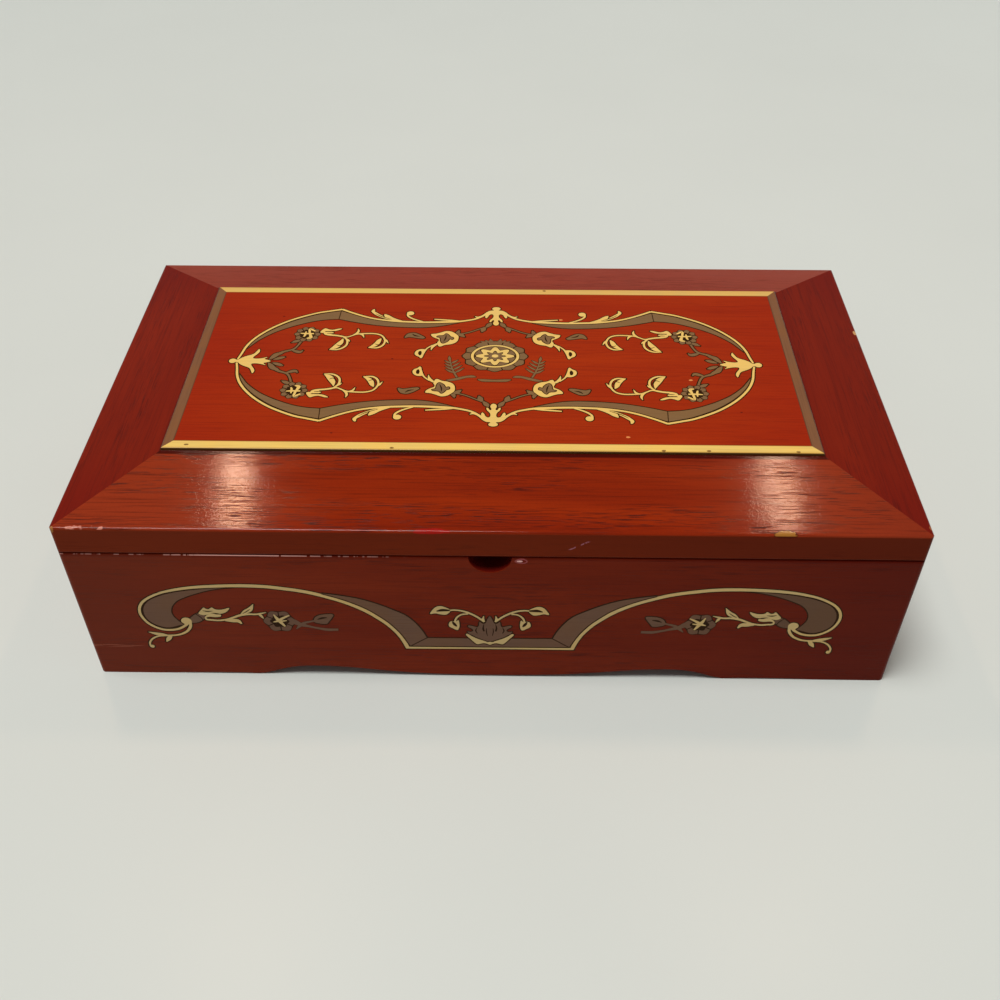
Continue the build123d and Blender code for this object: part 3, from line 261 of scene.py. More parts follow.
def lacquer(name, tone, marks=None, dull=None):
    # Colour: two tones mixed by a slow figure along the grain, an end tone towards the ends (thick stain, and
    # on the long rails partly painted reflection), then fine fibres and short dark pores that come in drifts.
    # Pores and fibres dent the surface. marks adds the wear, painted shade and painted highlights of one
    # piece: pairs of a mask and a colour. dull is a mask of rubbed faces.
    f = newFinish(name)
    along = tone["along"]
    seed = (tone["shift"], tone["shift"] * 1.7, tone["shift"] * 0.6)

    def pattern(kind, detail, rough, warp=0.0):
        longways, crossways = grain[kind]
        stretch = tuple(longways if axis == along else crossways for axis in range(3))
        return f.noise(stretch, detail, rough, seed, warp)

    figure = pattern("figure", 3, 0.55, 0.6).step(0.3, 0.72)
    bands = pattern("bands", 2, 0.5).step(0.3, 0.7)
    fibres = pattern("fibres", 2, 0.6)
    pores = pattern("pores", 1, 0.4).step(0.56, 0.65)
    drift = pattern("drift", 2, 0.5).step(0.36, 0.62)
    specks = pattern("specks", 2, 0.6).step(0.40, 0.68)
    axes = f.axes()
    v = varnish
    burn = (abs(axes[along]) + (bands - 0.5) * v["endsRagged"]).step(tone["endsFrom"], tone["endsTo"])
    wood = f.mix(linear(tone["dark"]), linear(tone["light"]), figure * v["figure"] + bands * v["bands"])
    # end tone: thick stain, and on the long rails partly painted reflection
    wood = f.mix(wood, linear(tone["endStainAndHaze"]), burn * v["burn"])
    streaks = fibres.step(0.46, 0.80) * v["fibres"] + specks * v["specks"]
    wood = f.mix(wood, linear(tone["streak"]), streaks)
    poreShare = pores * drift * tone["pores"]
    wood = f.mix(wood, linear(tone["streak"]), poreShare)
    for mask, colour in (marks(f, axes) if marks else ()):
        wood = f.mix(wood, linear(colour), mask)
    rough = poreShare * v["roughPores"] + fibres * v["roughFibres"] + specks * v["roughSpecks"]
    rough = rough + (tone["gloss"] + v["roughFrom"])
    height = fibres * v["dentFibres"] - poreShare * v["dentPores"] + specks * v["dentSpecks"]
    normal = f.bump(height, *relief["lacquer"])
    shader = f.shader(Base_Color=wood, Roughness=rough, Normal=normal, Specular_IOR_Level=tone["shine"])
    if dull:
        rubbed = f.shader(Base_Color=wood, Roughness=rough + v["dullRough"], Normal=normal,
                          IOR=v["dullIndex"])
        shader = f.node("ShaderNodeMixShader", inputs={0: dull(axes), 1: shader, 2: rubbed})
    f.close(shader, "ShaderNodeOutputMaterial")
    return f.owner


# Wear, and the painted highlights on the front wall's drop of lacquer: the centre and the reach of each mark,
# in millimetres
wallWear = {
    "rubbed": ((-143, -87, 16.0), (16, 2, 0.8)), "run": ((10.4, -87, 64.2), (1.1, 2, 0.45)),
    "wet": ((10.9, -87, 64.2), (2.3, 2, 1.2)), "dry": ((10.9, -87, 64.2), (1.8, 2, 0.8)),
}
railWear = {
    "chip": ((101.4, -86.4, 77.9), (3.5, 1.6, 1.0)), "rim": ((101.4, -86.4, 77.9), (4.1, 2.0, 1.2)),
    "corner": ((-151.7, -86.6, 77.3), (1.1, 1.2, 1.3)), "nick": ((-20.2, -86.4, 77.9), (6.0, 1.6, 0.8)),
    "leftEdge": ((-139, -86.3, 77.9), (8.5, 0.8, 0.7)), "scratch": ((31, -87, 72.3), (7, 2, 2.4)),
}
sideRailWear = {
    "chip": ((151.4, 35.6, 77.8), (1.1, 1.6, 0.9)), "corner": ((151.8, -82.6, 77.8), (0.7, 1.5, 0.6)),
}
notchEdge = {"half": 9, "front": -87, "foot": 57}     # thumb notch in the front wall, in millimetres
slopeFoot = 77.5       # height where the lid's slope starts, above its upright band, in millimetres
# the edge at this height carries a painted highlight
seamHeight = 65.75     # height of the bright edge under the closed lid, in millimetres


def uprightBand(z):
    # 1 on the lid's upright band, 0 on the slope above it
    return z.step(slopeFoot + 0.2, slopeFoot - 0.2)


def wallMarks(f, axes):
    # Painted shade on the notch's cut face and along the line where the lid closes. Right of the notch the
    # tone is deeper and left of it browner. Rubbed marks, a wet drop of lacquer with a painted highlight on
    # it, and a broken painted highlight along the edge under the lid.
    x, y, z = axes
    half, front, foot = notchEdge["half"], notchEdge["front"], notchEdge["foot"]
    # painted shade on the notch's cut face
    inside = y.step(front + 0.1, front + 0.5) * y.step(-50, -60)
    inside = inside * abs(x).step(half + 0.2, half - 0.2) * z.step(foot - 0.5, foot + 0.5)
    hair = f.noise((60, 400, 5200), 1, 0.5).step(0.56, 0.62)
    rubbed = f.spot(*wallWear["rubbed"], 0.5, 500) * hair
    # painted highlight on the wet drop: a near-white spot and a pale ring round it
    run = f.spot(*wallWear["run"], 0.4, 900)
    wet = f.spot(*wallWear["wet"], 0.2, 500)
    dropRimGlint = (wet - f.spot(*wallWear["dry"], 0.2, 500)).most(0)
    # painted highlight along the edge under the lid: broken, and strongest left of the notch
    strongGlint = x.step(-122, -100) * x.step(-52, -78)
    broken = f.noise((640, 100, 100), 1, 0.5, (2, 0, 1)) + strongGlint * 0.28
    seam = abs(z - seamHeight).step(0.42, 0.2) * y.step(front + 0.5, front + 0.2)
    glint = broken.step(0.47, 0.55) * seam * x.step(-28, -42) * (strongGlint * 0.6 + 0.4)
    deep = x.step(-20, 150) * 0.42
    brown = x.step(-10, -150) * 0.30
    return [(deep, (84, 12, 2)), (brown, (130, 60, 36)), (inside, (104, 20, 12)),
            # painted shade below the lid's edge, then the painted highlight along that edge and the drop's
            # dark body
            (z.step(64.0, 65.5) * 0.5, (70, 10, 8)), (glint, (255, 190, 176)), (wet * 0.5, (112, 14, 14)),
            # the drop's painted highlights, then rubbed marks
            (dropRimGlint * 0.45, (196, 110, 112)), (run * 0.9, (244, 190, 186)), (rubbed * 0.7, (196, 120, 96))]


def railMarks(f, axes):
    # Darker band below the slope, painted shade where the slope meets the panel, chips on the front edge,
    # a calmer tone at the back and a deeper one at the right end
    x, y, z = axes
    band = uprightBand(z)
    # painted shade where the slope meets the raised panel
    shadeBelowPanel = z.step(85.52, 85.70)
    upper = z.step(slopeFoot, slopeFoot + 0.25)
    chip = f.spot(*railWear["chip"], 0.5, 600) * upper
    rim = f.spot(*railWear["rim"], 0.4, 600)
    corner = f.spot(*railWear["corner"], 0.4)
    nick = f.spot(*railWear["nick"], 0.5, 400)
    pale = f.noise((260, 260, 260), 1, 0.5).step(0.61, 0.66)
    leftEdge = f.spot(*railWear["leftEdge"], 0.5) * pale * upper
    backTone = y.step(-30, 30) * 0.5
    rightEnd = x.step(112, 152) * y.step(-40, -60) * upper
    dashes = f.noise((900, 900, 900), 1, 0.5).step(0.40, 0.50)
    slant = abs(z - x * 0.62 - 53.1).step(0.45, 0.15)
    scratch = f.spot(*railWear["scratch"], 0.4) * slant * dashes
    return [(backTone, (134, 37, 9)), (rightEnd * 0.4, (112, 38, 22)), (band * 0.8, (110, 39, 15)),
            (band * x.step(-20, 150) * 0.5, (84, 20, 3)), (shadeBelowPanel * 0.9, (60, 6, 3)), (rim * 0.75, (66, 22, 8)),
            (chip, (160, 106, 42)), (corner, (158, 104, 52)), (nick * 0.7, (168, 22, 20)),
            (leftEdge * 0.8, (214, 140, 120)), (scratch * 0.55, (196, 130, 150))]


def sideRailMarks(f, axes):
    # As on the long rails, with two chips on the right edge
    x, y, z = axes
    # painted shade where the slope meets the raised panel
    shadeBelowPanel = z.step(85.75, 85.95)
    chip = f.spot(*sideRailWear["chip"], 0.4)
    corner = f.spot(*sideRailWear["corner"], 0.4)
    return [(uprightBand(z) * 0.6, (92, 20, 8)), (shadeBelowPanel * 0.7, (56, 10, 6)), (chip, (200, 150, 96)),
            (corner * 0.7, (170, 104, 62))]


inlayEdge = {     # on the lid's top, from its middle or its foot, in millimetres
    "goldOuter": 54, "goldInner": 49.7, "greyOuter": 119.5, "greyInner": 115.5, "fieldX": 116.0,
    "fieldY": 50.3, "foot": 86.65,
}
panelWear = {     # places of the specks and pits on the lid's top, in millimetres
    "pale": ((49.6, -45.7), (76.3, -10.6), (27.0, 30.4)),
    "dark": ((-58.9, -44.7), (-88.0, 31.5), (-12.5, -22.0), (101.5, 6.0), (93.0, -30.5), (-40.5, 2.0)),
    "pits": ((61.9, -53.2), (78.1, -53.1), (110.2, -53.2), (-110.5, -52.0), (-36.0, -52.9), (20.5, 52.6)),
    "height": 87,
}


def specksAt(f, kind, reach, ragged):
    # The sum of a ragged spot at each place of one kind
    total = 0
    for place in panelWear[kind]:
        total = f.spot((*place, panelWear["height"]), reach, ragged, 1500) + total
    return total


def panelMarks(f, axes):
    # A few pale specks, a few dark ones, a dark line beside the strips, and painted shade on the panel's side
    # below them
    x, y, z = axes
    pale = specksAt(f, "pale", (0.8, 0.5, 0.7), 0.3)
    dark = specksAt(f, "dark", (0.5, 0.35, 0.7), 0.3)
    border = (inlayEdge["fieldX"] - abs(x)).step(0.7, 0.1).most((inlayEdge["fieldY"] - abs(y)).step(0.9, 0.1))
    return [(pale * 0.8, (232, 150, 84)), (dark * 0.75, (84, 16, 8)), (border * 0.8, (76, 20, 6)),
            # painted shade on the panel's side below the strips
            (z.step(86.7, 86.3) * 0.85, (56, 12, 6))]


def inlay(name, colour, gloss=0.2, grainAlong=0, mottle=0.25, marks=None, shine=0.2):
    # Colour: a pale wood with fine fibres and a slow warm mottle
    f = newFinish(name)
    fine = f.noise(tuple(40 if a == grainAlong else 1300 for a in range(3)), 2, 0.5)
    slow = f.noise((60, 60, 60), 2, 0.5)
    wood = f.mix(linear(colour), linear(colour, 0.84), fine.step(0.4, 0.75) * (mottle * 2))
    warm = (min(255, colour[0] * 1.05), colour[1], colour[2] * 0.86)
    wood = f.mix(wood, linear(warm), slow.step(0.4, 0.65) * (mottle * 2))
    for mask, tint in (marks(f, f.axes()) if marks else ()):
        wood = f.mix(wood, linear(tint), mask)
    return f.surface(Base_Color=wood, Roughness=fine * 0.1 + gloss, Normal=f.bump(fine, *relief["inlay"]),
                     Specular_IOR_Level=shine)


def goldStripMarks(f, axes):
    # Painted shade: ochre on the rounded outer edge and nearly black under it. Then a dark line towards the
    # field, the back strip a little browner, and a few pits
    x, y, z = axes
    toEdge = inlayEdge["goldOuter"] - abs(y)
    # painted shade on the rounded outer edge and under it
    outer = toEdge.step(0.9, 0.4)
    under = toEdge.step(0.32, 0.12).most(z.step(inlayEdge["foot"], 86.3))
    field = (abs(y) - inlayEdge["goldInner"]).step(0.45, 0.1)
    pits = specksAt(f, "pits", (0.8, 0.5, 0.6), 0.4)
    return [(y.step(40, 54) * 0.45, (190, 140, 84)), (outer * 0.6, (190, 140, 50)),
            (field * 0.8, (120, 62, 14)), (under * 0.92, (58, 22, 6)), (pits * 0.8, (96, 50, 16))]


def greyStripMarks(f, axes):
    # Painted shade on the rounded edge towards the rail and on the side face below, and a dark line towards
    # the field
    x, y, z = axes
    # painted shade on the rounded edge towards the rail
    rail = (inlayEdge["greyOuter"] - abs(x)).step(0.7, 0.2)
    edges = rail.most((abs(x) - inlayEdge["greyInner"]).step(0.5, 0.1))
    return [(edges * 0.6, (66, 30, 16)), (z.step(inlayEdge["foot"], 86.3) * 0.85, (52, 14, 8))]


def frontGreyMarks(f, axes):
    # Deeper towards the right end
    return [(axes[0].step(50, 135) * 0.45, (88, 62, 38))]


def velvet(name, colour):
    # Pile: fine grain for the fibres, slow patches where it is brushed the other way
    f = newFinish(name)
    pile = f.noise((2600, 2600, 2600), 2, 0.6)
    brushed = f.noise((38, 38, 38), 3, 0.55, warp=0.8).step(0.35, 0.7)
    cloth = f.mix(linear(colour), linear([min(255, c * 1.45 + 6) for c in colour]), brushed * 0.36)
    cloth = f.mix(cloth, linear(colour, 0.55), pile.step(0.5, 0.8) * 0.5)
    return f.surface(Base_Color=cloth, Roughness=0.92,
                     Normal=f.bump(pile + brushed * 0.6, *relief["velvet"]),
                     Specular_IOR_Level=0.15, Sheen_Weight=0.55, Sheen_Roughness=0.35,
                     Sheen_Tint=linear((255, 120, 120)))


def metal(name, colour, gloss, brush=(900, 900, 60), wear=0.35):
    # Metal with fine brush marks and slow dull patches
    f = newFinish(name)
    marks = f.noise(brush, 2, 0.6)
    dull = f.noise((90, 90, 90), 3, 0.6).step(0.45, 0.75)
    tint = f.mix(linear(colour), linear(colour, 0.62), dull * wear)
    return f.surface(Base_Color=tint, Metallic=1.0, Roughness=marks * 0.14 + dull * 0.16 + gloss,
                     Normal=f.bump(marks, *relief["metal"]))


def plainWood(name, light, dark):
    # Unfinished wood: straight fibres, short darker rays
    f = newFinish(name)
    figure = f.noise((9, 95, 95), 3, 0.6, warp=0.5).step(0.3, 0.7)
    fibres = f.noise((40, 1200, 1200), 2, 0.6)
    rays = f.noise((220, 1500, 1500), 1, 0.4, (3, 1, 2)).step(0.62, 0.7)
    wood = f.mix(linear(dark), linear(light), figure)
    wood = f.mix(wood, linear(dark, 0.7), rays * 0.4 + fibres.step(0.55, 0.8) * 0.25)
    return f.surface(Base_Color=wood, Roughness=fibres * 0.15 + 0.6,
                     Normal=f.bump(fibres, *relief["bareWood"]), Specular_IOR_Level=0.3)


def clearSheet(name):
    # Thin clear plastic with faint hairlines
    f = newFinish(name)
    hair = f.noise((60, 2400, 500), 1, 0.5).step(0.66, 0.72)
    return f.surface(Base_Color=f.mix((0.80, 0.86, 0.86), (1, 1, 1), hair), Roughness=hair * 0.2 + 0.03,
                     Alpha=hair * 0.05 + 0.1, Specular_IOR_Level=0.6)


def silvering(name):
    # Mirror, with a few faint specks
    f = newFinish(name)
    specks = f.noise((700, 700, 700), 1, 0.5).step(0.74, 0.78)
    return f.surface(Base_Color=f.mix((0.86, 0.88, 0.88), (0.4, 0.38, 0.35), specks * 0.5), Metallic=1.0,
                     Roughness=specks * 0.3 + 0.015)


def railDull(axes):
    # The upright band and the back rail
    x, y, z = axes
    return uprightBand(z).most(y.step(-40, 0) * 0.85)


marksOf = {"wallLacquer": wallMarks, "longRailLacquer": railMarks, "shortRailLacquer": sideRailMarks,
           "panelLacquer": panelMarks}
dullOf = {"longRailLacquer": railDull}
finishes = {name: lacquer(name, tone, marksOf.get(name), dullOf.get(name))
            for name, tone in lacquers.items()}
finishes.update({
    "goldStrip": inlay("goldStrip", (236, 199, 108), 0.2, 0, 0.2, goldStripMarks),
    "greyStrip": inlay("greyStrip", (128, 86, 57), 0.2, 1, 0.25, greyStripMarks),
    "goldScroll": inlay("goldScroll", (232, 194, 110), 0.22, 0, 0.16),
    "greyScroll": inlay("greyScroll", (128, 97, 63), 0.24, 0, 0.2),
    "frontGold": inlay("frontGold", (213, 182, 124), 0.24, 0, 0.2, shine=0.12),
    "frontGreyScroll": inlay("frontGreyScroll", (116, 84, 66), 0.24, 0, 0.2, frontGreyMarks, 0.08),
    "darkLine": inlay("darkLine", (50, 28, 8), 0.3, 0, 0.1, shine=0.04),
    "wineVelvet": velvet("wineVelvet", (104, 12, 26)),
    "brass": metal("brass", (214, 172, 92), 0.16),
    "steel": metal("steel", (186, 188, 192), 0.16),
    "blueSpring": metal("blueSpring", (74, 82, 112), 0.2),
    "castPlate": metal("castPlate", (178, 174, 162), 0.34, (1500, 1500, 1500)),
    "bareWood": plainWood("bareWood", (205, 172, 125), (172, 134, 90)),
    "clearSheet": clearSheet("clearSheet"),
    "silvering": silvering("silvering"),
    "giltPaint": metal("giltPaint", (196, 150, 70), 0.26, (900, 900, 900), 0.5),
})
print("finishes made:", len(finishes))

nodeFinish = {
    "wallLacquer": ["front_wall", "back_wall"],
    "sideLacquer": ["left_wall", "right_wall"],
    "longRailLacquer": ["lid_front_rail", "lid_back_rail"],
    "shortRailLacquer": ["lid_left_rail", "lid_right_rail"],
    "panelLacquer": ["lid_panel"],
    "goldStrip": ["gold_strips"],
    "greyStrip": ["taupe_strips"],
    "bareWood": ["bottom_board", "corner_blocks"],
    "steel": ["board_screws", "movement_screws", "comb_screws", "bracket_screws", "winding_arbor",
              "cylinder_arbor", "comb", "governor_worm", "stop_rod"],
    "brass": ["hinge_base_leaves", "hinge_lid_leaves", "hinge_pins", "base_hinge_screws", "lid_hinge_screws",
              "spring_housing", "winding_key", "drive_wheel", "cylinder", "cylinder_gear", "left_bearing",
              "right_bearing", "governor_frame", "governor_wheel", "fan", "stop_guide", "stop_collar"],
    "blueSpring": ["mainspring", "stop_spring"],
    "castPlate": ["bedplate"],
    "clearSheet": ["movement_window"],
    "silvering": ["mirror_glass"],
    "giltPaint": ["mirror_frame"],
    "wineVelvet": ["front_lining", "back_lining", "left_lining", "right_lining", "main_floor_lining",
                   "roll_floor_lining", "long_divider", "movement_divider", "tray_divider", "ring_rolls",
                   "window_ledges", "lid_lining"],
}
for finishName, names in nodeFinish.items():
    for nodeName in names:
        piece = nodes[nodeName]
        if not piece.material_slots:
            piece.data.materials.append(finishes[finishName])
        for place in piece.material_slots:
            place.material = finishes[finishName]
finished = {node for names in nodeFinish.values() for node in names}
print("CAD nodes without a finish:", sorted(set(nodes) - finished))


# Mesh helpers
def makePiece(name, points, faces, finish, body, replaced=(), smooth=True):
    mesh = bpy.data.meshes.new(name)
    mesh.from_pydata(np.asarray(points, float).tolist(), [], [list(map(int, f)) for f in faces])
    work = bmesh.new()
    work.from_mesh(mesh)
    bmesh.ops.recalc_face_normals(work, faces=work.faces)
    work.to_mesh(mesh)
    work.free()
    if smooth:
        mesh.shade_smooth()
    else:
        mesh.shade_flat()
    mesh.materials.append(finishes[finish])
    piece = bpy.data.objects.new(name, mesh)
    bpy.context.scene.collection.objects.link(piece)
    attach(piece, body)
    if replaced:
        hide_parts(*replaced)
    return piece


def gridFaces(rows, columns, turned=False):
    # Quads of a grid whose columns run round, and whose rows do too when turned
    i, j = np.meshgrid(np.arange(rows if turned else rows - 1), np.arange(columns), indexing="ij")
    k, n = (j + 1) % columns, (i + 1) % rows
    corners = [i * columns + j, i * columns + k, n * columns + k, n * columns + j]
    return np.stack(corners, -1).reshape(-1, 4).tolist()


def smoothLine(points, steps=6, closed=False):
    # Catmull-Rom: each span is a cubic of its two ends and their neighbours
    p = np.asarray(points, float)
    p = np.vstack([p[-1], p, p[:2]]) if closed else np.vstack([2 * p[0] - p[1], p, 2 * p[-1] - p[-2]])
    t = np.linspace(0, 1, steps, endpoint=False)[None, :, None]
    a, b, c, d = (p[i:len(p) - 3 + i, None, :] for i in range(4))
    line = 0.5 * (2 * b + (c - a) * t + (2 * a - 5 * b + 4 * c - d) * t**2 + (3 * b - a - 3 * c + d) * t**3)
    line = line.reshape(-1, p.shape[1])
    return line if closed else np.vstack([line, p[-2]])


def across(line, closed=False):
    # Unit normals of a line, to its left, and its unit directions
    if closed:
        along = np.roll(line, -1, 0) - np.roll(line, 1, 0)
    else:
        along = np.gradient(line, axis=0)
    along = along / np.maximum(np.linalg.norm(along, axis=1, keepdims=True), 1e-9)
    return np.stack([-along[:, 1], along[:, 0]], 1), along


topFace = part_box("lid_panel")[1].z / mm
frontFace = -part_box("front_wall")[0].y / mm
lidMiddle = (0.25, -0.3)      # where the lid's ornament has its middle, mm
frontMiddle = -0.3            # and the front's, mm
frontSkew = {"inwards": 0.8, "upwards": 0.8, "over": 130}     # the right half's offset at its far end, mm


def onLid(plan, heights):
    # The ornament's plan on the panel, at heights above it
    return np.column_stack([plan + lidMiddle, topFace + heights])


def onFront(plan, heights):
    # The ornament's plan on the front wall. Its right half sits a little inwards and higher, as on the
    # real one.
    right = np.maximum(plan[:, 0], 0) / frontSkew["over"]
    x = plan[:, 0] + frontMiddle - frontSkew["inwards"] * right
    return np.column_stack([x, -(frontFace + heights), plan[:, 1] + frontSkew["upwards"] * right])


quarters = ((1, 1), (-1, 1), (1, -1), (-1, -1))
sideways = ((1, 1), (-1, 1))
upDown = ((1, 1), (1, -1))
once = ((1, 1),)


shell = {     # each solid's foot below the face and its greatest lift in mm, and the lifts' turn
    "sunk": 0.02, "lift": 0.006, "turn": 0.618034,
}


class Drawing:
    # A flat ornament: many low closed solids on one face of the box, kept as arrays until it is made
    def __init__(self, face, copies):
        self.face, self.copies = face, copies
        self.points, self.faces = [], []
        self.count = self.made = 0

    def solid(self, plan, heights, faces, copies):
        # plan is in millimetres on the face. No two neighbours have the same height: each is lifted by
        # a small share that follows the golden ratio.
        for flip in copies or self.copies:
            lift = shell["lift"] * (self.made * shell["turn"] % 1)
            self.points.append(self.face(plan * flip, heights + lift) * mm)
            self.faces += [[v + self.count for v in face] for face in faces]
            self.count += len(plan)
            self.made += 1

    def band(self, left, right, high, copies=None):
        # Solid between two edges: its section has four corners
        rows = len(left)
        plan = np.stack([left, left, right, right], 1).reshape(-1, 2)
        faces = gridFaces(rows, 4)
        last = 4 * (rows - 1)
        faces += [[3, 2, 1, 0], [last, last + 1, last + 2, last + 3]]
        self.solid(plan, np.tile([-shell["sunk"], high, high, -shell["sunk"]], rows), faces, copies)

    def stroke(self, points, high, widen=0.0, copies=None):
        # Line of (x, y, width): its edges are the centre plus or minus half the width along the normal
        line = smoothLine(points)
        centre, half = line[:, :2], np.maximum(line[:, 2], 0.1)[:, None] / 2 + widen
        normal, along = across(centre)
        centre[0] -= along[0] * widen
        centre[-1] += along[-1] * widen
        self.band(centre + normal * half, centre - normal * half, high, copies)

    def plate(self, ring, high, copies=None):
        # Solid inside a closed outline
        n = len(ring)
        plan = np.vstack([ring, ring])
        i = np.arange(n)
        j = (i + 1) % n
        faces = np.stack([i, j, j + n, i + n], 1).tolist() + [(i + n).tolist(), i[::-1].tolist()]
        self.solid(plan, np.repeat([-shell["sunk"], high], n), faces, copies)

    def rim(self, ring, high, reach, copies=None):
        # Closed line along an outline, as wide as twice the reach
        normal, along = across(ring, True)
        left, right = ring + normal * reach, ring - normal * reach
        plan = np.stack([left, left, right, right], 1).reshape(-1, 2)
        heights = np.tile([-shell["sunk"], high, high, -shell["sunk"]], len(ring))
        self.solid(plan, heights, gridFaces(len(ring), 4, True), copies)

    def make(self, name, finish, body, slotName):
        print(name, "solids:", self.made)
        makePiece(name, np.vstack(self.points), self.faces, finish, body, smooth=False)


def lobed(x, y, radius, lobes=0, depth=0.0, turn=0.0, stretch=1.0, corners=72):
    # Outline: radius times (1 + depth cos(lobes angle + turn)), stretched along y
    angle = np.linspace(0, 2 * np.pi, corners, endpoint=False)
    r = radius * (1 + depth * np.cos(lobes * angle + math.radians(turn)))
    return np.column_stack([x + r * np.cos(angle), y + r * np.sin(angle) * stretch])


def outline(points, steps=4):
    return smoothLine(points, steps, closed=True)


def folded(half, sideAxis):
    # A symmetric outline from its half: the half, then its mirror image backwards
    half = np.asarray(half, float)
    flip = np.array([-1, 1] if sideAxis == 0 else [1, -1])
    inner = half[1:-1] if abs(half[0, sideAxis]) < 1e-6 and abs(half[-1, sideAxis]) < 1e-6 else half
    return outline(np.vstack([half, (inner * flip)[::-1]]), 3)


# Scroll inlay. Strokes are (x, y, width). The lid's are one quarter, with y counted from the
# middle outwards; the front's are its left half.
layers = {"lines": 0.008, "grey": 0.018, "gold": 0.028, "veins": 0.038}   # heights above the face, mm
layers.update({
    "flowerEdge": layers["lines"] + 0.004, "petals": layers["grey"] + 0.004,
    "petalVeins": layers["grey"] + 0.012, "eye": layers["grey"] + 0.014, "cross": layers["gold"] + 0.012,
    "outerVein": layers["grey"] + 0.004, "leaf": layers["veins"] + 0.01, "leafVein": layers["veins"] + 0.02,
    "middleEdge": layers["grey"] + 0.002, "palmette": layers["grey"] + 0.006,
    "medalVeins": layers["grey"] + 0.010, "medalEdge": layers["grey"] + 0.008,
})
slender = {"lid": 0.86, "front": 0.92}                                    # share of a gold stroke's width
edging = {"lid": 0.45, "front": 0.48}                                     # dark line round each form, mm
greyEdging = {"lid": 1, "front": 0.3}                                     # share of it round grey strokes
lidGold = [
    [(-101.9, 1.2, 0.9), (-101.1, 4.7, 1.0), (-100.1, 9.7, 1.1), (-98.1, 14.7, 1.1), (-94.8, 19.7, 1.1),
     (-90.2, 24.7, 1.1), (-83.8, 29.7, 1.1), (-75.3, 34.2, 1.1), (-70.0, 35.9, 1.1), (-64.6, 37.4, 1.2)],
    [(-64.6, 37.4, 1.2), (-60.2, 34.9, 1.1), (-55.2, 32.4, 1.1), (-50.2, 30.5, 1.1), (-45.2, 29.4, 1.2),
     (-40.2, 28.7, 1.3), (-35.2, 28.4, 1.3), (-30.2, 28.2, 1.3), (-25.2, 28.3, 1.4), (-20.2, 28.6, 1.5),
     (-15.2, 29.0, 1.3), (-10.2, 30.3, 1.1), (-7.7, 31.5, 1.2), (-5.2, 33.6, 1.3), (-3.4, 35.6, 1.8)],
    [(-36.9, 34.5, 0.9), (-36.7, 32.9, 1.0), (-35.3, 31.3, 1.0), (-33.1, 29.9, 0.9), (-30.2, 28.6, 0.7)],
    [(-25.6, 30.5, 0.7), (-22.0, 30.1, 1.0), (-18.0, 29.7, 1.0), (-14.5, 29.2, 0.6)],
    [(-8.8, 32.8, 0.4), (-7.4, 32.2, 1.1), (-5.6, 33.2, 1.0)],
    [(-61.9, 17.3, 0.9), (-60.2, 17.1, 0.8), (-58.0, 18.4, 0.8), (-56.2, 19.3, 0.9), (-52.2, 19.7, 0.9),
     (-49.2, 19.6, 0.9), (-46.7, 18.6, 0.9), (-45.2, 16.5, 0.9), (-44.7, 14.2, 0.9), (-45.2, 11.8, 1.0),
     (-46.5, 10.2, 1.0), (-48.2, 9.6, 0.9), (-51.0, 9.8, 0.4)],
    [(-50.7, 10.0, 0.4), (-49.2, 10.9, 1.8), (-47.9, 12.5, 2.4), (-47.1, 14.7, 2.0), (-46.4, 16.2, 0.5)],
    [(-58.0, 18.4, 0.7), (-56.6, 19.9, 1.2), (-56.1, 21.6, 1.0), (-56.5, 23.1, 0.2)],
    [(-55.8, 19.4, 0.6), (-54.2, 18.7, 1.1), (-53.4, 16.7, 0.2)],
    [(-45.3, 16.0, 0.7), (-44.2, 14.8, 1.1), (-43.2, 12.9, 0.2)],
    [(-61.7, 17.0, 0.8), (-60.4, 15.6, 0.9), (-59.8, 13.3, 1.0), (-60.2, 10.9, 1.0), (-61.7, 9.1, 1.0),
     (-63.7, 8.2, 0.9), (-66.5, 8.2, 0.4)],
    [(-66.2, 8.6, 0.4), (-64.7, 9.6, 2.2), (-63.4, 11.3, 2.9), (-62.4, 13.4, 2.3), (-61.8, 15.9, 0.4)],
    [(-60.9, 15.9, 0.8), (-59.6, 14.9, 1.0), (-58.9, 13.9, 0.2)],
    [(-23.4, 12.9, 1.0), (-24.9, 11.3, 1.5), (-25.5, 9.7, 0.9), (-25.7, 8.3, 0.2)],
    [(-28.3, 7.6, 1.0), (-27.5, 9.3, 0.8), (-26.4, 10.7, 0.7), (-25.2, 11.9, 0.6)],
]
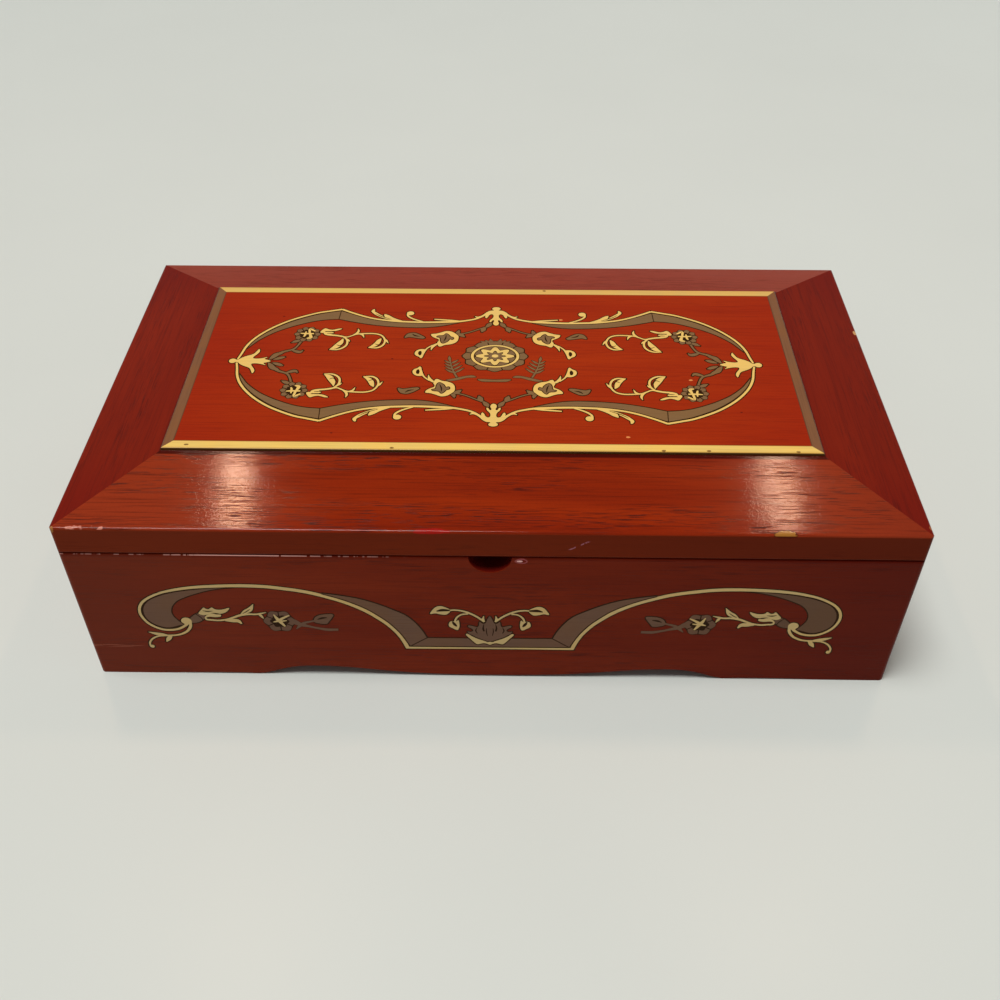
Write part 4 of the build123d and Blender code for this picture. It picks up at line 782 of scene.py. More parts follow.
lidGoldPlates = [
    lobed(-35.8, 34.8, 1.5, stretch=0.95),
    outline([(-51.7, 37.4), (-52.3, 36.0), (-51.3, 34.5), (-50.2, 33.3), (-48.2, 31.9), (-46.2, 30.8),
             (-44.0, 29.9), (-41.0, 29.1), (-38.2, 28.8), (-40.6, 30.1), (-42.8, 31.5), (-44.6, 33.1),
             (-46.6, 34.0), (-46.8, 32.6), (-48.3, 33.6), (-49.8, 35.0), (-50.8, 36.0), (-50.9, 37.5)]),
    outline([(-71.7, 20.4), (-70.8, 22.4), (-69.8, 23.2), (-68.4, 22.5), (-66.7, 22.2), (-64.3, 23.1),
             (-63.0, 23.0), (-64.4, 21.9), (-66.0, 21.3), (-67.7, 21.1), (-69.2, 20.9), (-70.4, 19.9)]),
    outline([(-70.2, 19.9), (-69.6, 18.7), (-67.7, 18.0), (-64.7, 17.6), (-61.9, 16.9), (-61.9, 17.8),
             (-64.7, 18.6), (-67.0, 19.0), (-66.1, 20.0), (-67.0, 20.6), (-69.2, 20.6)]),
    outline([(-23.5, 13.6), (-22.9, 11.3), (-21.9, 11.0), (-20.4, 12.0), (-18.0, 12.6), (-16.1, 13.8),
             (-15.2, 15.6), (-15.1, 18.2), (-16.3, 20.0), (-18.0, 21.5), (-20.2, 21.9), (-22.4, 20.8),
             (-24.3, 20.0), (-26.2, 19.6), (-26.0, 18.3), (-24.8, 17.1), (-23.1, 16.0), (-23.0, 14.8)]),
    outline([(-29.4, 2.8), (-28.8, 3.6), (-28.5, 5.2), (-28.0, 7.0), (-27.7, 8.5), (-28.8, 9.0), (-30.4, 8.8),
             (-31.7, 7.6), (-32.1, 5.9), (-31.5, 4.6), (-30.4, 3.9)]),
]
lidGrey = [
    [(-89.4, 0.9, 0.3), (-88.2, 2.8, 1.9), (-86.6, 4.6, 1.6), (-84.6, 6.4, 1.2), (-82.0, 7.6, 0.9),
     (-80.5, 8.7, 0.9), (-79.4, 11.0, 0.8), (-78.6, 13.6, 0.9)],
    [(-89.0, 3.2, 0.2), (-87.5, 4.4, 1.7), (-85.6, 5.4, 1.6), (-83.8, 7.3, 0.3)],
    [(-87.8, 1.0, 0.3), (-86.2, 1.7, 1.5), (-84.4, 2.5, 1.5), (-83.3, 2.9, 0.3)],
    [(-81.6, 7.8, 0.4), (-79.8, 6.9, 1.5), (-78.0, 6.4, 1.5), (-76.9, 7.6, 0.3)],
    [(-82.4, 12.8, 0.2), (-80.8, 13.7, 1.7), (-79.2, 14.6, 1.2)],
    [(-14.9, 19.8, 0.7), (-12.7, 20.4, 0.6), (-10.2, 21.5, 0.6), (-7.2, 23.3, 0.6), (-4.5, 24.9, 0.6)],
    [(-5.7, 21.3, 0.2), (-5.2, 23.0, 2.1), (-4.2, 24.9, 0.6)],
    [(-1.9, 28.3, 0.3), (-2.7, 26.8, 2.0), (-4.0, 24.9, 0.8)],
    [(-12.5, 17.7, 0.2), (-13.7, 18.9, 1.9), (-15.2, 20.0, 1.4)],
    [(-15.0, 22.7, 0.3), (-15.3, 21.4, 1.5), (-15.9, 20.2, 1.2)],
]
lidGreyPlates = [
    outline([(-36.9, 16.9), (-35.2, 17.4), (-33.6, 17.2), (-31.6, 16.7), (-29.4, 16.4), (-28.7, 17.2),
             (-30.0, 18.5), (-31.3, 19.5), (-33.3, 20.5), (-35.5, 20.0), (-36.6, 18.5)]),
]
lidBands = [
    ([(-99.7, 8.6), (-99.0, 11.0), (-97.3, 14.7), (-94.0, 19.4), (-89.4, 24.1), (-83.2, 28.9), (-75.0, 33.3),
      (-70.0, 35.0), (-64.8, 36.4)],
     [(-99.4, 8.3), (-97.4, 11.5), (-94.9, 15.1), (-90.2, 19.8), (-85.2, 23.3), (-80.2, 26.0), (-75.0, 28.2),
      (-70.2, 29.4), (-65.2, 29.9)]),
    ([(-64.8, 36.4), (-60.2, 34.1), (-55.2, 31.7), (-50.2, 29.8), (-45.2, 28.7), (-40.2, 28.0), (-35.2, 27.7),
      (-30.2, 27.5), (-25.2, 27.5), (-20.2, 27.8), (-15.0, 28.4)],
     [(-65.2, 29.9), (-60.2, 28.3), (-55.2, 26.9), (-50.2, 25.8), (-45.2, 25.0), (-40.2, 24.5), (-35.2, 24.2),
      (-30.2, 24.2), (-25.2, 24.8), (-20.2, 26.1), (-15.0, 28.0)]),
]
frontGold = [
    [(-112.6, 30.3, 1.2), (-113.5, 28.6, 1.2), (-115.7, 26.8, 1.1), (-117.7, 25.9, 1.1), (-120.2, 25.5, 1.1),
     (-122.9, 25.8, 1.1), (-125.7, 27.3, 1.1), (-128.0, 29.8, 1.1), (-129.3, 33.0, 1.1), (-129.5, 36.0, 1.1),
     (-128.6, 39.0, 1.1), (-126.5, 41.8, 1.1), (-123.2, 44.2, 1.1), (-119.2, 46.2, 1.1), (-114.7, 47.6, 1.3),
     (-109.7, 48.7, 1.4), (-104.7, 49.4, 1.5), (-99.7, 49.8, 1.6), (-94.7, 50.1, 1.6), (-89.7, 50.2, 1.7),
     (-84.7, 50.1, 1.7), (-79.7, 49.7, 1.7), (-74.7, 48.9, 1.7), (-69.7, 48.0, 1.7), (-64.7, 46.7, 1.7),
     (-59.7, 44.9, 1.7), (-54.7, 42.8, 1.7), (-49.7, 40.1, 1.7), (-44.7, 36.6, 1.7), (-39.7, 31.9, 1.7),
     (-37.2, 29.0, 1.7), (-34.7, 25.3, 1.7), (-32.7, 21.0, 1.7), (-31.3, 16.6, 1.6)],
    [(-31.9, 16.7, 1.2), (-20.0, 16.8, 1.2), (-8.0, 16.9, 1.2), (0.3, 16.9, 1.2)],
    [(-111.6, 30.4, 0.9), (-112.2, 27.5, 1.2), (-113.8, 25.0, 1.1), (-116.2, 23.3, 1.0), (-118.7, 22.5, 0.9),
     (-121.7, 22.3, 0.9), (-125.2, 21.9, 0.8), (-127.7, 20.5, 0.8), (-129.3, 18.3, 0.8), (-129.6, 16.2, 0.7)],
    [(-128.6, 24.2, 0.3), (-126.0, 23.3, 1.5), (-123.6, 22.8, 1.5), (-121.6, 22.3, 0.8)],
    [(-120.4, 22.2, 1.0), (-121.7, 20.5, 1.9), (-122.9, 18.7, 0.4)],
    [(-105.6, 32.9, 0.6), (-105.3, 31.7, 0.9), (-103.2, 31.4, 0.9), (-100.7, 31.2, 0.9), (-97.7, 31.8, 0.9),
     (-95.2, 32.9, 1.0), (-92.7, 34.1, 1.1), (-89.7, 34.8, 1.0), (-86.7, 34.8, 0.9), (-84.9, 35.2, 0.9),
     (-82.6, 35.9, 0.3)],
    [(-98.5, 31.4, 1.2), (-95.9, 31.2, 2.0), (-93.8, 31.0, 1.9), (-92.6, 29.4, 0.6)],
    [(-92.1, 34.2, 1.0), (-90.4, 36.0, 2.0), (-88.4, 37.5, 2.1), (-86.8, 40.3, 0.2)],
    [(-85.5, 35.1, 0.9), (-84.7, 33.9, 1.2), (-84.0, 32.4, 0.2)],
    [(-2.0, 32.0, 0.9), (-3.2, 33.2, 0.9), (-5.0, 34.9, 0.9), (-7.6, 36.7, 1.0), (-10.0, 37.8, 0.9),
     (-12.8, 38.3, 0.8), (-15.2, 38.1, 0.7)],
    [(-2.1, 31.9, 0.6), (-2.5, 33.3, 1.1), (-2.2, 35.2, 0.2)],
    [(-8.0, 36.3, 0.8), (-10.3, 35.9, 0.8), (-11.9, 34.6, 0.8), (-12.7, 33.0, 0.8), (-13.0, 31.6, 0.7)],
]
frontGoldPlates = [
    lobed(-113.1, 30.6, 1.95),
    lobed(-128.9, 15.9, 0.85),
    outline([(-107.8, 35.0), (-106.6, 36.8), (-105.4, 38.2), (-104.6, 37.5), (-103.6, 37.4), (-102.3, 38.3),
             (-101.2, 37.3), (-98.8, 37.2), (-95.9, 38.2), (-97.2, 36.1), (-99.3, 35.0), (-101.2, 35.3),
             (-102.6, 35.3), (-104.3, 34.5), (-106.2, 34.1)]),
    outline([(-103.0, 35.0), (-101.2, 34.5), (-99.7, 34.4), (-99.9, 33.4), (-101.9, 33.0), (-103.9, 33.2),
             (-105.6, 32.7), (-105.2, 33.8)]),
    outline([(-22.0, 36.1), (-21.0, 38.3), (-19.8, 39.8), (-18.0, 40.4), (-15.8, 39.5), (-14.4, 38.2),
             (-15.0, 36.8), (-16.3, 35.7), (-18.3, 35.9), (-20.0, 36.4)]),
    outline([(-15.3, 30.2), (-14.9, 31.6), (-14.0, 32.1), (-12.6, 32.0), (-11.6, 32.7), (-11.3, 30.6),
             (-11.4, 28.8), (-12.1, 27.2), (-13.9, 28.2), (-15.1, 29.2)]),
]
frontGrey = [
    [(-72.6, 30.2, 1.6), (-70.0, 29.2, 1.8), (-67.0, 28.2, 1.1), (-64.0, 27.3, 1.1), (-60.8, 26.6, 1.4),
     (-56.8, 26.7, 1.2)],
    [(-72.5, 26.8, 0.3), (-71.0, 28.6, 1.3), (-69.2, 30.2, 1.2), (-66.9, 31.0, 0.9), (-64.6, 31.7, 0.8)],
    [(-74.6, 32.6, 0.4), (-72.8, 31.4, 1.6), (-70.8, 29.9, 1.2)],
]
frontGreyPlates = [
    outline([(-111.6, 32.0), (-108.4, 34.9), (-106.0, 34.1), (-105.8, 32.5), (-108.6, 30.1),
             (-111.6, 29.8)], 3),
    outline([(-65.4, 31.0), (-64.7, 33.5), (-62.2, 35.0), (-58.0, 35.2), (-58.7, 33.0), (-59.8, 31.3),
             (-60.8, 29.9), (-63.2, 30.0)]),
]
frontBands = [
    ([(-91.5, 49.4), (-99.7, 49.0), (-107.7, 48.0), (-114.7, 46.6), (-119.8, 44.9), (-124.7, 42.2),
      (-127.6, 38.6), (-128.4, 34.5), (-127.3, 30.5), (-124.3, 27.7), (-120.3, 26.6), (-115.4, 28.2)],
     [(-91.5, 49.2), (-97.7, 48.4), (-102.7, 47.1), (-106.7, 45.6), (-110.7, 43.8), (-114.2, 41.7),
      (-116.5, 38.9), (-117.5, 36.0), (-117.3, 33.6), (-116.4, 31.7), (-115.4, 30.2), (-114.4, 29.0)]),
    ([(-61.0, 46.9), (-56.7, 46.2), (-51.7, 45.2), (-46.7, 43.8), (-41.7, 41.7), (-36.2, 38.7), (-30.9, 35.2),
      (-27.6, 31.2), (-25.2, 26.9), (-23.5, 22.7)],
     [(-61.0, 46.3), (-55.9, 44.3), (-50.6, 41.7), (-45.0, 38.1), (-40.2, 33.7), (-37.0, 30.1), (-34.0, 25.6),
      (-32.3, 22.2), (-31.2, 19.6), (-30.3, 17.5)]),
]
barLow, barHigh = 17.5, 22.7     # the straight bar between the arches

scrolls = {
    "lid": {"gold": lidGold, "goldPlates": lidGoldPlates, "grey": lidGrey, "greyPlates": lidGreyPlates,
            "bands": lidBands},
    "front": {"gold": frontGold, "goldPlates": frontGoldPlates, "grey": frontGrey,
              "greyPlates": frontGreyPlates, "bands": frontBands},
}
veins = {"inner": 0.45, "outer": 0.6}     # width of the lines along a band's edges, mm


def drawScroll(place, lines, greys, golds):
    # Dark edges below, then the bands with their veins, the greys and the golds
    parts, edge = scrolls[place], edging[place]
    goldStrokes = [[(x, y, w * slender[place]) for x, y, w in stroke] for stroke in parts["gold"]]
    for stroke in goldStrokes:
        lines.stroke(stroke, layers["lines"], edge)
    for stroke in parts["grey"]:
        lines.stroke(stroke, layers["lines"], edge * greyEdging[place])
    for ring in parts["greyPlates"] + parts["goldPlates"]:
        lines.rim(ring, layers["lines"], edge)
    for outer, inner in parts["bands"]:
        greys.band(smoothLine(outer), smoothLine(inner), layers["grey"])
        lines.stroke([(x, y, veins["inner"]) for x, y in inner], layers["veins"])
        lines.stroke([(x, y, veins["outer"]) for x, y in outer], layers["outerVein"])
    for stroke in parts["grey"]:
        greys.stroke(stroke, layers["grey"])
    for ring in parts["greyPlates"]:
        greys.plate(ring, layers["grey"])
    for stroke in goldStrokes:
        golds.stroke(stroke, layers["gold"])
    for ring in parts["goldPlates"]:
        golds.plate(ring, layers["gold"])


lidLines, lidGreys, lidGolds = (Drawing(onLid, quarters) for _ in range(3))
frontLines, frontGreys, frontGolds = (Drawing(onFront, sideways) for _ in range(3))
drawScroll("lid", lidLines, lidGreys, lidGolds)
drawScroll("front", frontLines, frontGreys, frontGolds)

# finials: at both ends of the lid's scroll, and above and below its middle
endFinial = folded([(-102.7, 0), (-102.4, 0.8), (-101.5, 0.9), (-100.5, 2.1), (-98.8, 3.3), (-97.0, 4.2),
                    (-95.9, 5.2), (-95.2, 6.8), (-94.5, 8.2), (-94.0, 6.6), (-94.6, 4.9), (-95.7, 3.1),
                    (-95.9, 1.9), (-94.5, 1.6), (-92.5, 1.9), (-90.2, 2.7), (-91.3, 1.4), (-90.2, 0.9),
                    (-88.6, 0)], 1)
endBall = lobed(-103.7, 0, 1.45)
crossFinial = folded([(0, 26.2), (0.9, 26.8), (1.2, 28.0), (0.8, 29.3), (0.9, 30.1), (1.6, 29.9), (2.0, 28.9),
                      (2.7, 28.8), (2.4, 30.3), (1.6, 31.4), (1.1, 32.6), (1.2, 34.0), (1.9, 34.6),
                      (2.9, 33.9), (3.4, 32.5), (4.1, 31.6), (4.6, 32.6), (4.3, 34.2), (5.1, 34.2),
                      (4.1, 35.9), (2.7, 37.1), (1.2, 37.4), (0.8, 38.0), (0, 38.1)], 0)
crossBall = lobed(0, 38.7, 1.75, stretch=0.68)
for ring, copies in ((endFinial, sideways), (endBall, sideways), (crossFinial, upDown), (crossBall, upDown)):
    lidLines.rim(ring, layers["lines"], edging["lid"], copies)
    lidGolds.plate(ring, layers["gold"], copies)

# veins and mitre lines
for line in ([(-64.9, 36.4, 0.35), (-65.2, 29.9, 0.35)],
             [(-64.0, 11.6, 0.2), (-62.4, 10.9, 0.5), (-61.3, 12.4, 0.7), (-61.1, 14.4, 0.2)],
             [(-48.6, 12.4, 0.2), (-47.0, 11.8, 0.5), (-46.1, 13.4, 0.6), (-46.2, 14.9, 0.2)],
             [(-69.9, 21.0, 0.3), (-67.6, 20.9, 0.6), (-65.2, 21.3, 0.2)],
             [(-68.9, 19.6, 0.2), (-67.4, 19.6, 0.4), (-66.4, 19.5, 0.2)],
             [(-34.0, 19.7, 0.2), (-32.8, 18.5, 0.7), (-30.8, 17.9, 0.2)],
             [(-50.3, 34.3, 0.2), (-47.6, 32.2, 0.4), (-43.4, 30.2, 0.2)],
             [(-46.9, 33.9, 0.3), (-46.7, 32.2, 0.5), (-46.0, 31.4, 0.2)]):
    lidLines.stroke(line, layers["veins"])
for line in ([(-30.3, 17.5, 0.4), (-23.5, 22.7, 0.4)],
             [(-30.3, barLow, 0.5), (0.1, barLow, 0.5)],
             [(-23.5, barHigh, 0.45), (-8.0, barHigh, 0.45)],
             [(-106.0, 36.6, 0.2), (-104.4, 36.2, 0.6), (-102.4, 36.4, 0.2)],
             [(-91.4, 35.2, 0.2), (-89.8, 36.3, 0.4), (-88.4, 37.6, 0.2)],
             [(-64.0, 32.3, 0.3), (-62.2, 33.1, 0.9), (-60.4, 33.4, 0.3)],
             [(-19.6, 37.6, 0.5), (-17.4, 38.2, 1.4), (-14.6, 38.1, 0.8)],
             [(-13.9, 32.0, 0.5), (-13.1, 30.4, 1.2), (-12.3, 29.2, 0.5)],
             [(-108.9, 34.6, 0.3), (-107.4, 32.9, 0.4), (-106.6, 31.0, 0.3)]):
    frontLines.stroke(line, layers["veins"])
frontGreys.band(np.array([(-30.3, barLow), (0.2, barLow)]), np.array([(-23.5, barHigh), (0.2, barHigh)]),
                layers["grey"])


bloom = {     # dark edge in millimetres, the rest as shares of the radius
    "edge": 0.35, "edgeWaves": 0.06, "petalWaves": 0.09, "eyeWaves": 0.10, "veinFrom": 0.52, "veinTo": 0.98,
}


def flower(lines, greys, golds, middle, radius, petals, eye, cross):
    # Petals round a dark eye, with a gold cross
    x, y = middle
    lines.plate(lobed(x, y, radius + bloom["edge"], petals, bloom["edgeWaves"]), layers["flowerEdge"])
    greys.plate(lobed(x, y, radius, petals, bloom["petalWaves"]), layers["petals"])
    angle = (np.arange(petals) + 0.5) * 2 * np.pi / petals
    for a in angle:
        inner, outer = radius * bloom["veinFrom"], radius * bloom["veinTo"]
        lines.stroke([(x + inner * math.cos(a), y + inner * math.sin(a), 0.5),
                      (x + outer * math.cos(a), y + outer * math.sin(a), 0.4)], layers["petalVeins"])
    lines.plate(lobed(x, y, eye, petals, bloom["eyeWaves"]), layers["eye"])
    for stroke in cross:
        golds.stroke([(x + u, y + v, w) for u, v, w in stroke], layers["cross"])


flower(lidLines, lidGreys, lidGolds, (-76.7, 18.9), 4.9, 10, 3.1, [
    [(-2.9, 0.6, 0.5), (-0.8, 0.4, 0.9), (2.6, 0.4, 0.8)],
    [(0.0, -3.0, 0.5), (1.6, -2.3, 1.4), (1.0, 0.2, 0.9)],
    [(0.8, 0.6, 0.9), (0.6, 3.6, 1.0), (2.9, 2.2, 0.7)],
    [(-1.3, -1.9, 0.5), (-0.9, -0.6, 0.9), (-0.8, 1.9, 0.5)],
])
flower(frontLines, frontGreys, frontGolds, (-78.2, 31.1), 5.5, 6, 3.3, [
    [(-1.8, 3.7, 0.4), (-0.9, 1.6, 1.2), (0.1, -0.2, 1.4), (1.7, -2.9, 0.7)],
    [(-2.4, -0.5, 0.4), (-0.5, 0.2, 1.1), (1.2, 1.6, 1.1), (4.0, 3.4, 0.4)],
    [(0.4, 0.0, 1.0), (2.7, 0.4, 0.4)],
])
bellLeaf = outline([(-21.6, 12.5), (-20.4, 12.9), (-19.0, 14.4), (-18.2, 16.2), (-16.7, 15.7), (-16.4, 17.2),
                    (-17.9, 18.0), (-18.7, 19.4), (-20.0, 20.7), (-20.8, 19.5), (-22.0, 18.9), (-23.8, 18.7),
                    (-24.6, 17.9), (-23.2, 17.4), (-22.7, 16.2), (-22.5, 14.2)])
bellLeaf = bellLeaf * 0.8 + (-4.1, 3.4)
lidLines.rim(bellLeaf, layers["veins"], 0.4)
lidGreys.plate(bellLeaf, layers["leaf"])
lidLines.stroke([(-21.0, 14.4, 0.2), (-20.3, 16.6, 0.6), (-20.1, 19.0, 0.2)], layers["leafVein"])
budEye = outline([(-29.9, 4.6), (-29.3, 6.0), (-29.6, 7.7), (-30.5, 7.4), (-30.7, 5.8)])
lidLines.plate(budEye, layers["veins"])

# the front's middle: a palmette in a crescent
crescent = folded([(0, 20.6), (1.0, 20.4), (1.8, 20.9), (3.5, 21.7), (5.2, 22.6), (7.0, 23.9), (8.4, 25.1),
                   (9.0, 24.5), (7.6, 22.5), (6.1, 20.5), (4.9, 19.2), (3.7, 19.4), (2.4, 19.8), (1.2, 19.5),
                   (0, 18.9)], 0)
palmette = folded([(0, 35.1), (0.8, 33.6), (1.2, 32.2), (1.8, 31.0), (2.8, 31.0), (3.8, 31.9), (4.0, 30.2),
                   (4.6, 28.9), (5.8, 29.3), (7.8, 29.9), (8.0, 29.0), (6.7, 28.0), (6.2, 26.9), (7.2, 26.2),
                   (8.4, 26.4), (7.7, 25.1), (6.4, 24.2), (5.0, 23.1), (3.2, 22.2), (1.4, 21.3),
                   (0, 21.0)], 0)
for draw, ring, high in ((frontGolds, crescent, layers["gold"]), (frontGreys, palmette, layers["palmette"])):
    frontLines.rim(ring, layers["middleEdge"], edging["front"], once)
    draw.plate(ring, high, once)
for line in ([(-2.2, 26.6, 0.7), (-2.5, 28.4, 0.6), (-2.2, 30.6, 0.2)],
             [(-4.7, 25.4, 0.3), (-5.3, 27.0, 0.5), (-4.8, 28.6, 0.2)],
             [(-0.9, 24.0, 0.2), (-1.3, 26.4, 0.4), (-1.2, 28.4, 0.2)]):
    frontLines.stroke(line, layers["veins"])
print("scrolls drawn")


# The middle of the lid: an oval rosette between two sprigs
medal = {
    "y": 4.6, "radius": 9.6, "stretch": 0.8, "leaves": 4, "petals": 12, "waves": 0.045, "ringRise": 0.008,
    "edge": 3.3, "border": 2.8, "veinFrom": 1.02, "veinTo": 1.26, "veinWidth": 0.45, "leafEdge": 0.22,
    "footEdge": 0.28,
}
midLines, midGreys, midGolds = (Drawing(onLid, once) for _ in range(3))


def medalRing(radius, lobes=0, depth=0.0):
    return lobed(0, medal["y"], radius, lobes, depth, 90 * lobes, medal["stretch"])


for draw, reach, layer in ((midLines, "edge", "lines"), (midGreys, "border", "grey")):
    draw.plate(medalRing(medal["radius"] + medal[reach], medal["petals"], medal["waves"]), layers[layer])
for k in range(medal["petals"]):
    turn = 2 * math.pi * (k + 0.5) / medal["petals"]
    near, far = medal["radius"] * medal["veinFrom"], medal["radius"] * medal["veinTo"]
    midLines.stroke([(r * math.cos(turn), medal["y"] + r * math.sin(turn) * medal["stretch"],
                      medal["veinWidth"]) for r in (near, far)], layers["medalVeins"])
midLines.plate(medalRing(medal["radius"] + 0.3), layers["medalEdge"])
# each ring lies on the one before
for k, (draw, ring) in enumerate((
    (midGolds, medalRing(medal["radius"])), (midLines, medalRing(medal["radius"] - 1.1)),
    (midGreys, medalRing(medal["radius"] - 1.5)), (midLines, medalRing(6.9, 8, 0.2)),
    (midGolds, medalRing(6.4, 8, 0.2)), (midLines, medalRing(3.6, 8, 0.25)),
    (midGreys, medalRing(3.1, 8, 0.25)), (midGolds, medalRing(1.3)),
)):
    draw.plate(ring, layers["gold"] + medal["ringRise"] * k)

fanLeaves = [[(0.6, 12.6, 0.8), (1.6 + 1.2 * k, 14.4 - 0.35 * k, 1.8), (2.2 + 1.9 * k, 16.4 - 0.8 * k, 0.3)]
             for k in range(3)]
# the sprig leans outwards; its leaves stand in pairs, shorter towards the tip
sprig = [[(14.6, -9.6, 0.8), (15.6, -7.2, 0.8), (16.9, -3.0, 0.6), (17.6, 0.6, 0.5), (18.0, 2.6, 1.2),
          (18.2, 4.4, 0.2)]]
for k in range(medal["leaves"]):
    share = k / medal["leaves"]
    x, y, long = 15.7 + 2.0 * share, -6.8 + 8.4 * share, 4.0 - 1.4 * share
    for lean, rise, tip in ((1, 0.24, 0.62), (-1, 0.34, 0.82)):
        sprig.append([(x, y, 0.4), (x + lean * 0.42 * long, y + rise * long, 1.0),
                      (x + lean * 0.9 * long, y + tip * long, 0.2)])
ribbon = [[(18.6, -11.6, 0.4), (16.6, -11.4, 1.3), (13.6, -10.4, 1.5), (10.8, -9.3, 1.2), (8.6, -9.1, 1.3),
           (7.2, -9.4, 0.4)]]
for side in (-1, 1):
    for stroke in fanLeaves + sprig + ribbon:
        turned = [(side * x, y, w) for x, y, w in stroke]
        midLines.stroke(turned, layers["lines"], medal["leafEdge"])
        midGreys.stroke(turned, layers["grey"])
foot = [(-6.4, -11.0, 0.5), (-4.4, -11.5, 1.5), (0, -11.7, 1.3), (4.4, -11.5, 1.5), (6.4, -11.0, 0.5)]
midLines.stroke(foot, layers["lines"], medal["footEdge"])
midGreys.stroke(foot, layers["grey"])

lidLines.make("lidScrollLines", "darkLine", "lid", "grey_inlay")
lidGreys.make("lidScrollGrey", "greyScroll", "lid", "grey_inlay")
lidGolds.make("lidScrollGold", "goldScroll", "lid", "pale_inlay")
midLines.make("lidRosetteLines", "darkLine", "lid", "grey_inlay")
midGreys.make("lidRosetteGrey", "greyScroll", "lid", "grey_inlay")
midGolds.make("lidRosetteGold", "goldScroll", "lid", "pale_inlay")
frontLines.make("frontScrollLines", "darkLine", "case", "grey_inlay")
frontGreys.make("frontScrollGrey", "frontGreyScroll", "case", "grey_inlay")
frontGolds.make("frontScrollGold", "frontGold", "case", "pale_inlay")
print("scroll pieces made")


# Ring rolls: padded velvet rolls side by side
rolls = {
    "count": 6, "gap": 0.0003, "fill": 0.85, "around": 40, "along": 70, "folds": 0.012, "endRound": 0.004,
    "endShare": 0.14, "tipShare": 0.02, "sideBend": 0.8, "topBend": 0.75, "slack": 0.985, "waves": (31, 57),
    "footLift": 0.0001,
}


def ringRolls(settings):
    # Section: y = a cos(u)^p and z = b sin(u)^q with their signs kept, flat at the foot. It shrinks
    # towards both ends, and slow waves along it stand for the folds of the cover.
    low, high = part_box("ring_rolls")
    length, height = high.x - low.x, high.z - low.z
    pitch = (high.y - low.y + settings["gap"]) / settings["count"]
    u = np.linspace(0, 2 * np.pi, settings["around"], endpoint=False)[None, :]
    v = np.linspace(0, 1, settings["along"])[:, None]
    end = np.clip(np.minimum(v, 1 - v) * length / settings["endRound"], 0, 1)
    endShare, (slow, quick) = settings["endShare"], settings["waves"]
    shrink = np.sqrt(np.clip(1 - (1 - end) ** 2, 0, 1)) * (1 - endShare) + endShare
    shrink[0] = shrink[-1] = settings["tipShare"]
    y = np.sign(np.cos(u)) * np.abs(np.cos(u)) ** settings["sideBend"]
    z = np.sign(np.sin(u)) * np.abs(np.sin(u)) ** settings["topBend"]
    for roll in range(settings["count"]):
        middle = low.y + pitch * (roll + 0.5) - settings["gap"] / 2
        fold = np.sin(v * slow + roll * 2.1 + 1.5 * np.sin(u * 2 + roll)) + np.sin(v * quick + roll + u)
        swell = (1 - settings["folds"] * (1 + fold / 2)) * settings["slack"] * shrink
        yy = middle + y * (pitch - settings["gap"]) / 2 * swell
        zz = np.maximum(low.z + height / 2 + z * height / 2 * swell, low.z + settings["footLift"])
        grid = np.stack([low.x + length * v + 0 * u, yy, zz], -1)
        n = settings["around"]
        faces = gridFaces(settings["along"], n)
        faces += [list(range(n))[::-1], [n * (settings["along"] - 1) + k for k in range(n)]]
        piece = makePiece(f"ringRoll{roll + 1}", grid.reshape(-1, 3), faces, "wineVelvet", "case",
                          ["ring_rolls"])


ringRolls(rolls)
print("ring rolls made")


# Velvet covered boards in place of the plain linings, dividers and ledges
boards = {     # body, and radius of the long edges in millimetres
    **{place + "_lining": ("case", 0.6)
       for place in ("front", "back", "left", "right", "main_floor", "roll_floor")},
    **{place + "_divider": ("case", 1.6) for place in ("long", "movement", "tray")},
    "lid_lining": ("lid", 0.7),
}
cover = {"corner": 6, "spans": 32, "wave": 0.05, "waves": 90, "thinnest": 0.003}
ledgeWidth = 0.004


def coveredBoard(name, node, low, high, body, radius):
    # A box with rounded long edges: a rounded rectangle carried along the longest side, drawn in
    # over the radius at both ends. The cover's faces wave by |sin(k x)|.
    low, high = np.array(low), np.array(high)
    size = high - low
    long, wide, thin = np.argsort(-size)
    r = min(radius * mm, size[thin] * 0.49)
    corner = np.linspace(0, np.pi / 2, cover["corner"])
    a = np.concatenate([corner, corner + np.pi / 2, corner + np.pi, corner + 1.5 * np.pi])
    centreW = np.repeat([1, -1, -1, 1], len(corner)) * (size[wide] / 2 - r)
    centreT = np.repeat([1, 1, -1, -1], len(corner)) * (size[thin] / 2 - r)
    drawn = r * (1 - np.sin(corner[1:]))
    straight = np.linspace(r, size[long] - r, cover["spans"])[1:-1]
    inset = np.concatenate([drawn, 0 * straight, drawn[::-1]])[:, None]
    endX = r * (1 - np.cos(corner[1:]))
    x = np.concatenate([endX, straight, size[long] - endX[::-1]])
    wave = cover["wave"] * mm * np.abs(np.sin(x * cover["waves"]))[:, None]
    w = centreW[None, :] + (r - inset) * np.cos(a)[None, :]
    t = centreT[None, :] + (r - inset) * np.sin(a)[None, :]
    t = t - np.sign(t) * wave * (size[thin] > cover["thinnest"])
    grid = np.zeros((len(x), len(a), 3))
    grid[..., long] = (low[long] + x)[:, None]
    grid[..., wide] = low[wide] + size[wide] / 2 + w
    grid[..., thin] = low[thin] + size[thin] / 2 + t
    n = len(a)
    faces = gridFaces(len(x), n) + [list(range(n))[::-1], [n * (len(x) - 1) + k for k in range(n)]]
    makePiece(name, grid.reshape(-1, 3), faces, "wineVelvet", body, [node])


